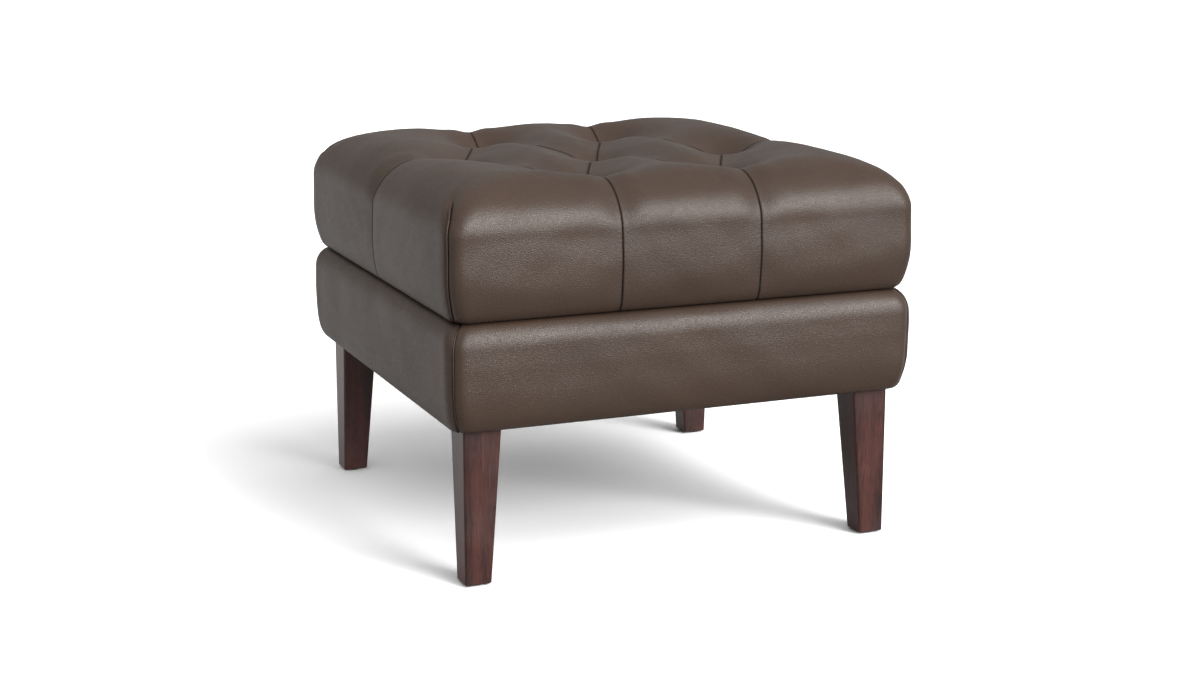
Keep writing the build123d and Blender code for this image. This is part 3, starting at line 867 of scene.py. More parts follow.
def welt_strip(path: np.ndarray, across: np.ndarray, out: np.ndarray, size: tuple[float, float],
               sink: np.ndarray) -> Surface:
    """A folded strip whose round edge stands in a seam.

    Args:
        path: Places along the seam on the leather's form.
        across: The direction from one panel to the other at each place.
        out: The outward direction there.
        size: The round edge's radius, and how far the strip reaches in behind its middle.
        sink: How far the round edge's middle lies under the path at each place.

    Returns:
        A closed surface that the painted seam shade leaves alone: every seam counts as far from it.
    """
    radius, tail = size
    angle = np.linspace(0, 2 * math.pi, 17)[:-1]
    reach = np.where(np.sin(angle) > 0, radius, tail)
    loop = np.stack([radius * np.cos(angle), reach * np.sin(angle)], axis=-1)
    profile = loop - np.stack([np.zeros(len(sink)), sink], axis=-1)[:, None]
    strip = swept(path, across, out, profile)
    count = len(strip.points)
    far = {"seam_distance": np.full(count, 100.0), "seam_along": np.zeros(count)}
    return Surface(strip.points, strip.faces, far)


# The cushion

@dataclass(frozen=True)
class CushionForm:
    """The form that the cushion's pockets share.

    Its outline at each level is a square with round corners, whose half width and height follow the
    profile. The tufts and seams sink it by a depth that falls off with the distance in plan.

    Attributes:
        half: Half the width at the sides.
        bottom: The height of the underside.
        top: The height of the top before tufting.
        side_top: Where the top roll begins on the side.
        side_line: Points of the side between the two rolls, measured from half and side_top.
        roll_width: The top roll's size inwards.
        foot_width: The bottom roll's size inwards.
        foot_top: The height at which the bottom roll begins.
        profile_softness: How softly the profile's parts meet.
        turned_in: Half the width of the opening in the turned-in leather.
        corner_radius: The corners' radius in plan, on the sides.
        corner_growth: How much larger it is on top.
        seam_shift: From a corner's middle to its seam, towards the left or right side.
        seam_turn: How much further off the seam lies at its upper end.
        turn_span: The heights between which it turns.
        fold_span: The heights between which the corner's crease runs out at its upper end.
        crease: The crease in the corner seam.
        pinch: The dimple at the corner seam's upper end: its depth, height and width.
        tuft_row: From the middle to the outer tufts.
        tuft_spacing: From the middle to the tufts of the front and back rows.
        tuft_depth: How far a tuft is drawn down.
        tuft_reach: How far its pull is felt along a tufted seam.
        tuft_fall: How steeply that pull falls off, as an exponent.
        edge_reach: How far its pull is felt along a plain seam.
        pit_depth: How much deeper the leather lies right at a tuft.
        pit_width: That pit's width.
        seam_depth: How far a seam between two tufts sinks midway.
        seam_pull: How far a plain seam sinks below the pockets beside it.
        side_ease: The share of that which it loses on the side.
        valley_width: The valley's width along a tufted seam.
        edge_valley: Its width along a plain seam on top.
        side_valley: Its width along a plain seam on the side.
        side_blend: The heights over side_top between which a plain seam's top and side parts blend.
        share_power: How strongly the nearest of several seams prevails.
        crown: How far a pocket swells between its seams on top.
        side_crown: How far it swells on the side.
        crown_rise: The height over side_top by which the swell has its full size.
        crown_foot: The height over the bottom by which it has its side's size.
        dish: How much lower the top's middle lies.
        dish_span: The half widths between which it falls to that.
        edge_rounding: The radius with which leather turns down at a seam.
        waves: The leather's unevenness.
        waves_seed: Picks its waves.
        calm_height: The height over the bottom below which the waves die out.
        blend_half: Half the width of the part whose rows run from the tufted seams to the edge.
    """

    half: float = 285.2
    bottom: float = 300.0
    top: float = 449.6
    side_top: float = 386.3
    side_line: tuple[tuple[float, float], ...] = ((-0.6, -5.0), (0.0, -16.0), (0.3, -28.0))
    roll_width: float = 76.7
    foot_width: float = 12.5
    foot_top: float = 356.0
    profile_softness: float = 6.0
    turned_in: float = 236.0
    corner_radius: float = 17.0
    corner_growth: float = 71.3
    seam_shift: float = 6.0
    seam_turn: float = 10.0
    turn_span: tuple[float, float] = (410.0, 438.0)
    fold_span: tuple[float, float] = (433.0, 422.0)
    crease: Crease = Crease(2.2, 2.7, 1.2, 8.0)
    pinch: tuple[float, float, float] = (2.4, 428.0, 8.0)
    tuft_row: float = 174.0
    tuft_spacing: float = 84.5
    tuft_depth: float = 31.4
    tuft_reach: float = 66.6
    tuft_fall: float = 1.93
    edge_reach: float = 37.0
    pit_depth: float = 5.0
    pit_width: float = 16.0
    seam_depth: float = 8.8
    seam_pull: float = 0.60
    side_ease: float = 0.7
    valley_width: float = 44.5
    edge_valley: float = 18.0
    side_valley: float = 10.0
    side_blend: tuple[float, float] = (40.0, -5.0)
    share_power: float = 1.3
    crown: float = 5.0
    side_crown: float = 0.7
    crown_rise: float = 42.0
    crown_foot: float = 40.0
    dish: float = 2.3
    dish_span: tuple[float, float] = (230.0, 150.0)
    edge_rounding: float = 1.6
    waves: Waves = Waves((0.55, 130.0), (0.25, 48.0))
    waves_seed: int = 7
    calm_height: float = 12.0
    blend_half: float = 245.0

    @property
    def seams(self) -> list[tuple[Seam, tuple[float, float], tuple[float, float]]]:
        """Every seam in plan: its kind and its two ends."""
        near, wide, far = self.tuft_spacing, self.tuft_row, 2 * self.half
        found = []
        for y in (-1, 1):
            for x in (-1, 1):
                found.append((Seam.TUFTED, (x * near, y * wide), (x * wide, 0.0)))
                found.append((Seam.TUFTED, (0.0, 0.0), (x * near, y * wide)))
                found.append((Seam.PLAIN, (x * near, y * wide), (x * near, y * far)))
        for x in (-1, 1):
            found.append((Seam.PLAIN, (x * wide, 0.0), (x * far, 0.0)))
        return found

    @property
    def tufts(self) -> np.ndarray:
        """The tufts in plan, some of them more than once."""
        return np.array([end for kind, *ends in self.seams if kind is Seam.TUFTED for end in ends])

    def radius_at(self, half: np.ndarray) -> np.ndarray:
        """The corners' radius where the outline has a half width: larger towards the top."""
        flat = self.half - self.roll_width
        share = np.clip((half - flat) / self.roll_width, 0, 1)
        inner = np.clip(half / flat, 0, 1)
        return (self.corner_radius + self.corner_growth * (1 - share) ** 2) * inner

    def profile(self) -> np.ndarray:
        """The plain form's outline, from the middle of the top out, down and in to the opening.

        A level top, a quarter of an ellipse to the side, a side that leans out a little, and a
        second, taller quarter of an ellipse at the foot, all softened where they meet.

        Returns:
            Half widths with heights.
        """
        flat = self.half - self.roll_width
        turn = np.linspace(0, math.radians(80), 40)
        roll = np.stack([flat + self.roll_width * np.sin(turn),
                         self.side_top + (self.top - self.side_top) * np.cos(turn)], axis=1)
        side = np.array([self.half, self.side_top]) + self.side_line
        tuck = np.linspace(math.radians(8), math.pi / 2, 40)
        foot = np.stack([side[-1, 0] - self.foot_width * (1 - np.cos(tuck)),
                         self.foot_top - (self.foot_top - self.bottom) * np.sin(tuck)], axis=1)
        middle, opening = [[0, self.top]], [[self.turned_in, self.bottom]]
        line = softened(np.concatenate([middle, roll, side, foot, opening]), 0.5, self.profile_softness)
        return line[::5]

    def height_at(self, half: np.ndarray) -> np.ndarray:
        """The top's height where the outline has a half width, read off the profile."""
        line = self.profile()
        top = line[:np.argmax(line[:, 0])]
        return np.interp(half, top[:, 0], top[:, 1])

    def level_of(self, plan: np.ndarray) -> np.ndarray:
        """The half width of the outline that passes through each place in plan, by halving."""
        far = np.abs(plan).max(axis=-1)
        near = np.abs(plan).min(axis=-1)
        low, high = far.copy(), far + near + TINY
        for _ in range(40):
            middle = (low + high) / 2
            radius = self.radius_at(middle)
            out = np.hypot(np.maximum(far - middle + radius, 0), np.maximum(near - middle + radius, 0))
            outside = out > radius
            low = np.where(outside, middle, low)
            high = np.where(outside, high, middle)
        return np.where(near <= far - self.radius_at(far), far, (low + high) / 2)

    def top_normal(self, plan: np.ndarray) -> np.ndarray:
        """The plain form's outward direction over the top, from its slope over one millimetre."""
        falls = []
        for shift in np.eye(2) / 2:
            before, after = self.level_of(plan - shift), self.level_of(plan + shift)
            falls.append(self.height_at(before) - self.height_at(after))
        normal = np.stack([*falls, np.ones(plan.shape[:-1])], axis=-1)
        return normal / np.linalg.norm(normal, axis=-1, keepdims=True)

    def crown_at(self, height: np.ndarray) -> np.ndarray:
        """How far a pocket swells between its seams: most on top, little on the sides, none at the foot."""
        on_top = smooth_step(self.side_top, self.side_top + self.crown_rise, height)
        foot = smooth_step(self.bottom, self.bottom + self.crown_foot, height)
        return (self.side_crown + (self.crown - self.side_crown) * on_top) * foot

    def dish_at(self, level: np.ndarray) -> np.ndarray:
        """How much lower the top lies towards its middle, where the outline has a half width."""
        return self.dish * smooth_step(*self.dish_span, level)

    def unevenness(self, points: np.ndarray) -> np.ndarray:
        """The leather's slight waves over the plain form, which end at the foot."""
        calm = smooth_step(self.bottom, self.bottom + self.calm_height, points[..., 2])
        return calm * self.waves.at(points, self.waves_seed)

    def seam_field(self, plan: np.ndarray, height: np.ndarray) -> tuple[np.ndarray, ...]:
        """How far the seams sink the leather, and where the nearest seam is.

        Each seam sinks it by depth(v) * exp(-(d / w)^2), where d is the distance in plan, v the
        distance along the seam to its nearer tuft and w the valley's width. The depth falls from
        the tuft's to the seam's own. Several seams share by their nearness.

        Args:
            plan: Places in plan.
            height: The height of each.

        Returns:
            The sinking, the distance to the nearest seam and the place along it.
        """
        sum_weights = np.zeros(plan.shape[:-1])
        sum_depths = np.zeros(plan.shape[:-1])
        nearest = np.full(plan.shape[:-1], FAR_OFF)
        along = np.zeros(plan.shape[:-1])
        upper, lower = self.side_blend
        on_side = smooth_step(self.side_top + upper, self.side_top + lower, height)
        beside = self.crown_at(height) - self.dish_at(np.abs(plan).max(axis=-1))
        for kind, start, end in self.seams:
            a, b = np.array(start), np.array(end)
            length = float(np.linalg.norm(b - a))
            run = (b - a) / length
            place = np.clip((plan - a) @ run, 0, length)
            distance = np.linalg.norm(plan - a - place[..., None] * run, axis=-1)
            if kind is Seam.TUFTED:
                from_tuft = np.minimum(place, length - place)
                own = self.seam_depth
                fall = np.exp(-((from_tuft / self.tuft_reach) ** self.tuft_fall))
                width = self.valley_width
            else:
                own = beside + self.seam_pull * (1 - self.side_ease * on_side)
                fall = bell(place, self.edge_reach)
                edge = self.edge_valley + (self.side_valley - self.edge_valley) * on_side
                width = edge + (self.valley_width - edge) * fall
            share = bell(distance, width)
            weight = share**self.share_power
            sum_weights += weight
            sum_depths += weight * share * (own + (self.tuft_depth - own) * fall)
            along = np.where(distance < nearest, place + (height if kind is Seam.PLAIN else 0), along)
            nearest = np.minimum(nearest, distance)
        to_tuft = np.linalg.norm(plan[..., None, :] - self.tufts, axis=-1).min(axis=-1)
        pit = self.pit_depth * bell(to_tuft, self.pit_width)
        return sum_depths / (sum_weights + TINY**2) + pit, nearest, along

    def formed(self, plain: np.ndarray, normal: np.ndarray, level: np.ndarray,
               from_corner: np.ndarray | float = FAR_OFF) -> tuple[np.ndarray, ...]:
        """Sink and swell the plain form into the tufted one.

        Args:
            plain: Places on the plain form.
            normal: Their outward directions.
            level: The outline's half width at each.
            from_corner: The distance along the outline to the corner seam.

        Returns:
            The points, the distance to the nearest seam and the place along it.
        """
        height = plain[..., 2]
        sunk, seam, along = self.seam_field(plain[..., :2], height)
        fold = smooth_step(*self.fold_span, height) * smooth_step(self.bottom - 1, self.bottom + 4, height)
        depth, end, width = self.pinch
        pinch = depth * bell(np.hypot(from_corner, (height - end) * 0.8), width)
        offset = self.crown_at(height) - self.dish_at(level) - sunk - turned_down(seam, self.edge_rounding)
        offset = offset - fold * self.crease.sunk(from_corner) - pinch
        points = plain + normal * (offset + self.unevenness(plain))[..., None]
        fold_line = np.where(fold > 0.3, from_corner, FAR_OFF)
        return points, np.minimum(seam, fold_line + 0.4), along

    def side_rows(self) -> Rows:
        """The rows below the part that blends from the seams, down the roll, side and foot."""
        line = self.profile()
        return Rows.along(line[np.argmax(line[:, 0] > self.blend_half):], -1)

    def outline(self, half: np.ndarray, radius: np.ndarray, place: np.ndarray) -> tuple[np.ndarray, ...]:
        """Points along the outline from the back's seam round the corner to the right side's middle.

        Args:
            half: The outline's half width in each row.
            radius: Its corner radius.
            place: Distances along it in each row.

        Returns:
            The places in plan, their outward directions and their distances from the corner's
            middle along the outline.
        """
        start = self.tuft_spacing
        first = (half - radius - start)[:, None]
        radius = radius[:, None]
        centre = half[:, None] - radius
        arc = radius * math.pi / 2
        angle = np.clip((place - first) / np.maximum(radius, TINY), 0, math.pi / 2)
        x = np.where(place < first, start + place, centre + radius * np.sin(angle))
        y = np.where(place > first + arc, centre - (place - first - arc), centre + radius * np.cos(angle))
        facing = np.stack([np.sin(angle), np.cos(angle)], axis=-1)
        return np.stack([x, y], axis=-1), facing, place - first - arc / 2

    def run_of(self, half: np.ndarray, radius: np.ndarray) -> np.ndarray:
        """The outline's length from the back's seam round the corner to the right side's middle."""
        return 2 * (half - radius) - self.tuft_spacing + radius * math.pi / 2

    def lean_at(self, height: np.ndarray) -> np.ndarray:
        """From the corner's middle to its seam, along the outline, at a height."""
        return self.seam_shift + self.seam_turn * smooth_step(*self.turn_span, height)

    def corner_seam(self, half: np.ndarray, radius: np.ndarray, height: np.ndarray) -> np.ndarray:
        """The corner seam's place along the outline in each row."""
        return half - radius - self.tuft_spacing + radius * math.pi / 4 + self.lean_at(height)


@dataclass
class Cushion:
    """The tufted upper tier: eight leather pockets, four corner welts and the foam inside.

    Attributes:
        material: The leather's finish.
        foam_material: The foam's.
        welt_material: The welts'.
        form: The form that the pockets share.
        foam_half: Half the width of the foam.
        foam_top: The height of the foam's top.
        foam_radius: Its corners' radius in plan.
        foam_gap: How far the foam's mesh stands in from all these.
        foam_drop: How far its top lies lower in the middle.
        foam_round: How much further it falls towards the edge, at first hardly and then fast.
        board_bottom: The height of the board's underside.
        board_top: The height of its upper side.
        fill: How full the pockets are.
        welt_top: The height at which the corner welts end.
        welt_size: A welt's radius, and how far it reaches in behind its middle.
        welt_sink: How far a welt's middle lies under the leather's swell.
        welt_dive: How much deeper it lies at its upper and at its lower end.
        welt_end: Over which height each end goes down.
    """

    material: bpy.types.Material
    foam_material: bpy.types.Material
    welt_material: bpy.types.Material
    form: CushionForm = CushionForm()
    foam_half: float = 262.3
    foam_top: float = 411.4
    foam_radius: float = 25.3
    foam_gap: float = 1.0
    foam_drop: float = 0.8
    foam_round: float = 3.0
    board_bottom: float = 301.25
    board_top: float = 316.4
    fill: float = 0.85
    welt_top: float = 429.0
    welt_size: tuple[float, float] = (1.0, 2.0)
    welt_sink: float = 1.6
    welt_dive: tuple[float, float] = (2.4, 0.8)
    welt_end: float = 6.0

    def behind(self, rows: Rows) -> tuple[np.ndarray, np.ndarray]:
        """The half width and height behind each row of the side: down the foam, then under the board."""
        form = self.form
        widest = int(np.argmin(abs(rows.height - form.side_top)))
        lowest = int(np.argmax(rows.height < form.bottom + 0.6))
        knots = (0, widest, lowest, len(rows.half) - 1)
        row = np.arange(len(rows.half))
        half = np.interp(row, knots, (form.blend_half + 0.5, self.foam_half, self.foam_half, rows.half[-1]))
        height = np.interp(row, knots, (self.foam_top - 0.1, self.foam_top - 4, self.board_bottom,
                                        self.board_bottom))
        return half, height

    def pocket(self, top_plan: np.ndarray, side: tuple[np.ndarray, ...] | None = None,
               side_back: np.ndarray | None = None) -> Surface:
        """One pocket, from its part on top and, where it has one, its part down the side.

        Args:
            top_plan: Rows of places in plan on top.
            side: The side's plain places, outward directions, half widths and distances to the
                corner seam.
            side_back: The places behind the side's.

        Returns:
            A closed surface.
        """
        level = self.form.level_of(top_plan)
        plain = lifted(top_plan, self.form.height_at(level))
        parts = [self.form.formed(plain, self.form.top_normal(top_plan), level)]
        backs = [lifted(top_plan, self.foam_top)]
        if side is not None:
            parts.append(self.form.formed(*side))
            backs.append(side_back)
        outer, seam, along = (np.concatenate(part) for part in zip(*parts))
        return closed_shell(outer, np.concatenate(backs), {"seam_distance": seam, "seam_along": along})

    def corner_panel(self) -> Surface:
        """The back right pocket: from its tufted seam out to the edge, round the corner and down."""
        form = self.form
        between = 22
        level = np.array([form.blend_half])
        radius = form.radius_at(level)
        seam = form.corner_seam(level, radius, form.height_at(level))
        place = round_the_corner(form.run_of(level, radius), seam, between)
        ring, _, _ = form.outline(level, radius, place)
        a, b = np.array([form.tuft_spacing, form.tuft_row]), np.array([form.tuft_row, 0.0])
        length = float(np.linalg.norm(b - a))
        run = (b - a) / length
        near, far = SEAM_STEPS / run[0], length + SEAM_STEPS[::-1] / run[1]
        middle = evenly(near[-1], far[0], place.shape[1] - 2 * len(SEAM_STEPS))
        along = np.concatenate([near, middle, far])
        diagonal = a + along[:, None] * run + np.array([-run[1], run[0]]) * SEAM_STEPS[0]
        blend = np.concatenate([[0], SEAM_STEPS[1:] / 110.0, np.linspace(0.1, 1, 26)[1:]])[:, None, None]
        top_plan = diagonal * (1 - blend) + ring[0] * blend
        rows = form.side_rows()
        half, height = rows.half, rows.height
        radius = form.radius_at(np.where(height < form.side_top, form.half, half))
        narrow = np.minimum(radius, half - form.turned_in + 20)
        radius = np.where(height <= form.bottom + TINY, narrow, radius)
        around = form.run_of(half, radius)
        place = round_the_corner(around, form.corner_seam(half, radius, height), between)
        plan, facing, from_middle = form.outline(half, radius, place)
        plain = lifted(plan, height[:, None])
        normal = lifted(facing * rows.out[:, None, None], rows.up[:, None])
        wide = along_rows(half, place.shape)
        from_seam = np.abs(from_middle - form.lean_at(height)[:, None])
        back_half, back_height = self.behind(rows)
        back_radius = np.minimum(radius, self.foam_radius)
        back_place = place * (form.run_of(back_half, back_radius) / around)[:, None]
        back_plan, _, _ = form.outline(back_half, back_radius, back_place)
        inner = lifted(back_plan, back_height[:, None])
        return self.pocket(top_plan, (plain, normal, wide, from_seam), inner)

    def middle_panel(self) -> Surface:
        """The back middle pocket: from the middle tuft out between two seams and down the side."""
        form = self.form
        tuft = form.tuft_row
        rows = np.concatenate([
            SEAM_STEPS * 1.5 + 0.6, np.linspace(18, tuft - 11, 30), tuft - SEAM_STEPS[::-1], [tuft],
            tuft + SEAM_STEPS, np.linspace(tuft + 12, form.blend_half, 16),
        ])
        slope = form.tuft_spacing / tuft
        half_width = np.where(rows < tuft, slope * rows, form.tuft_spacing)
        slant = np.where(rows < tuft, math.hypot(1, slope), 1.0)
        place = seam_to_seam(2 * half_width / slant, middle=34) * slant[:, None]
        x = place - half_width[:, None]
        top_plan = np.stack([x, along_rows(rows, x.shape)], axis=-1)
        side = form.side_rows()
        x = np.broadcast_to(x[-1], (len(side.half), x.shape[1]))
        half, height, out, up = (along_rows(value, x.shape)
                                 for value in (side.half, side.height, side.out, side.up))
        plain = np.stack([x, half, height], axis=-1)
        normal = np.stack([np.zeros(x.shape), out, up], axis=-1)
        behind = (along_rows(value, x.shape) for value in self.behind(side))
        return self.pocket(top_plan, (plain, normal, half), np.stack([x, *behind], axis=-1))

    def diamond_panel(self) -> Surface:
        """The right diamond: a patch between four tufts, straight from side to side."""
        wide, tall = self.form.tuft_row, 2 * self.form.tuft_row
        edge = math.hypot(self.form.tuft_spacing, self.form.tuft_row)
        across = wide * tall / 2 / edge
        share = seam_to_seam(np.array([across]), middle=56)[0] / across
        p, q = share[:, None, None], share[None, :, None]
        front = np.array([self.form.tuft_spacing, -self.form.tuft_row])
        back = np.array([self.form.tuft_spacing, self.form.tuft_row])
        far = np.array([wide, 0.0])
        return self.pocket(front * p * (1 - q) + back * (1 - p) * q + far * p * q)

    def welt(self) -> Surface:
        """The back right welt: a folded strip whose round edge stands in the corner seam."""
        form = self.form
        rows = form.side_rows()
        rows = rows.resampled((rows.height < self.welt_top) & (rows.height > form.bottom + 2), count=70)
        height = rows.height
        radius = form.radius_at(np.where(height < form.side_top, form.half, rows.half))
        place = form.corner_seam(rows.half, radius, height)
        plan, facing, _ = form.outline(rows.half, radius, place[:, None])
        path = lifted(plan[:, 0], height)
        outward = lifted(facing[:, 0] * rows.out[:, None], rows.up)
        path = path + outward * (form.crown_at(height) + form.unevenness(path))[:, None]
        across = lifted(facing[:, 0, ::-1] * np.array([1, -1]), 0.0)
        sink = self.welt_sink
        for dive, end in zip(self.welt_dive, (self.welt_top, form.bottom)):
            sink = sink + dive * bell(height - end, self.welt_end)
        return welt_strip(path, across, outward, self.welt_size, sink)

    def foam(self) -> Surface:
        """The foam block, a little crowned."""
        x, y = square_grid(25)
        plan = np.stack([x, y], axis=-1) * (self.foam_half - self.foam_gap)
        top = self.foam_top - self.foam_drop - self.foam_round * np.maximum(abs(x), abs(y)) ** 8
        return closed_shell(lifted(plan, top), lifted(plan, self.board_top), {})

    def panel(self, label: str, surface: Surface, x: int, y: int) -> None:
        """Make one panel's piece from the surface on the back right, mirrored by the signs of X and Y."""
        Piece(f"cushion_panel_{label}", mirrored(surface, x, y), self.material, "leather",
              (f"seat_cover_{label}", f"seat_fill_{label}"), self.fill).build()

    def build(self) -> None:
        """Make every piece of the cushion."""
        corner, welt = self.corner_panel(), self.welt()
        middle, diamond = self.middle_panel(), self.diamond_panel()
        for place in Corner:
            self.panel(place.label, corner, *place.value)
            Piece(f"cushion_welt_{place.label}", mirrored(welt, *place.value), self.welt_material,
                  "welt_leather", (f"seat_welt_{place.label}",)).build()
        for y, label in ((1, "back_middle"), (-1, "front_middle")):
            self.panel(label, middle, 1, y)
        for x, label in ((1, "diamond_right"), (-1, "diamond_left")):
            self.panel(label, diamond, x, 1)
        Piece("cushion_foam", self.foam(), self.foam_material, "foam", ("seat_foam",), 1.0).build()


@dataclass
class Ties:
    """The cords that hold the tufts down to washers under the board, knotted at both ends.

    Attributes:
        material: The cords' finish.
        form: The cushion's form, which places the tufts.
        bottom: The height of the lower knot's end.
        top: The height of the upper knot's end, just under the leather.
        cord: The cord's radius.
        knot: The knots' radius.
        knot_height: How tall a knot is.
        lay: The length in which a strand of the cord goes round once.
        strand_depth: How far the strands stand out, as a share of the radius.
    """

    material: bpy.types.Material
    form: CushionForm = CushionForm()
    bottom: float = 296.75
    top: float = 411.0
    cord: float = 1.55
    knot: float = 3.0
    knot_height: float = 3.0
    lay: float = 9.0
    strand_depth: float = 0.1

    def tie(self, x: float, y: float) -> Surface:
        """One tie: a cord of three strands, r (1 + 0.1 cos 3 (angle - turn)), that swells into its knots.

        Args:
            x: The tuft's place across.
            y: Its place from front to back.

        Returns:
            A closed surface.
        """
        low, high = self.bottom + 5, self.top - 5
        height = np.concatenate([
            np.linspace(self.bottom, low, 14)[:-1], np.linspace(low, high, 150),
            np.linspace(high, self.top, 14)[1:],
        ])
        angle = np.linspace(0, 2 * math.pi, 19)[:-1]
        end = np.minimum(height - self.bottom, self.top - height)
        bulge = np.sqrt(np.clip(1 - (2 * end / self.knot_height - 1) ** 2, 0, 1))
        tip = 0.45 * self.cord
        knotted = np.maximum(self.cord, tip + (self.knot - tip) * bulge)
        radius = np.where(end < self.knot_height, knotted, self.cord)[:, None]
        turn = 2 * math.pi * height[:, None] / self.lay
        strands = 1 + self.strand_depth * np.cos(3 * (angle - turn))
        profile = (radius * strands)[..., None] * np.stack([np.cos(angle), np.sin(angle)], axis=-1)
        path = lifted(np.broadcast_to([x, y], (len(height), 2)), height)
        side, ahead = (np.broadcast_to(axis, path.shape) for axis in np.eye(3)[:2])
        return swept(path, side, ahead, profile)

    def build(self) -> None:
        """Make the seven ties as one piece."""
        row, spacing = self.form.tuft_row, self.form.tuft_spacing
        places = [(x * spacing, y * row) for y in (-1, 1) for x in (-1, 1)]
        places += [(x * row, 0.0) for x in (-1, 0, 1)]
        ties = joined([self.tie(*place) for place in places])
        Piece("tuft_ties", ties, self.material, "twine", ("tuft_twines",)).build()


def mirrored(surface: Surface, x: int, y: int) -> Surface:
    """A surface with its X and Y multiplied by one or minus one, still facing outwards."""
    return Surface(surface.points * np.array([x, y, 1]), surface.faces, surface.values).outward()


def turned(surface: Surface, quarters: int) -> Surface:
    """A surface turned about Z by quarter turns."""
    points = surface.points
    for _ in range(quarters):
        points = points[:, [1, 0, 2]] * np.array([-1, 1, 1])
    return Surface(points, surface.faces, surface.values)


# The base

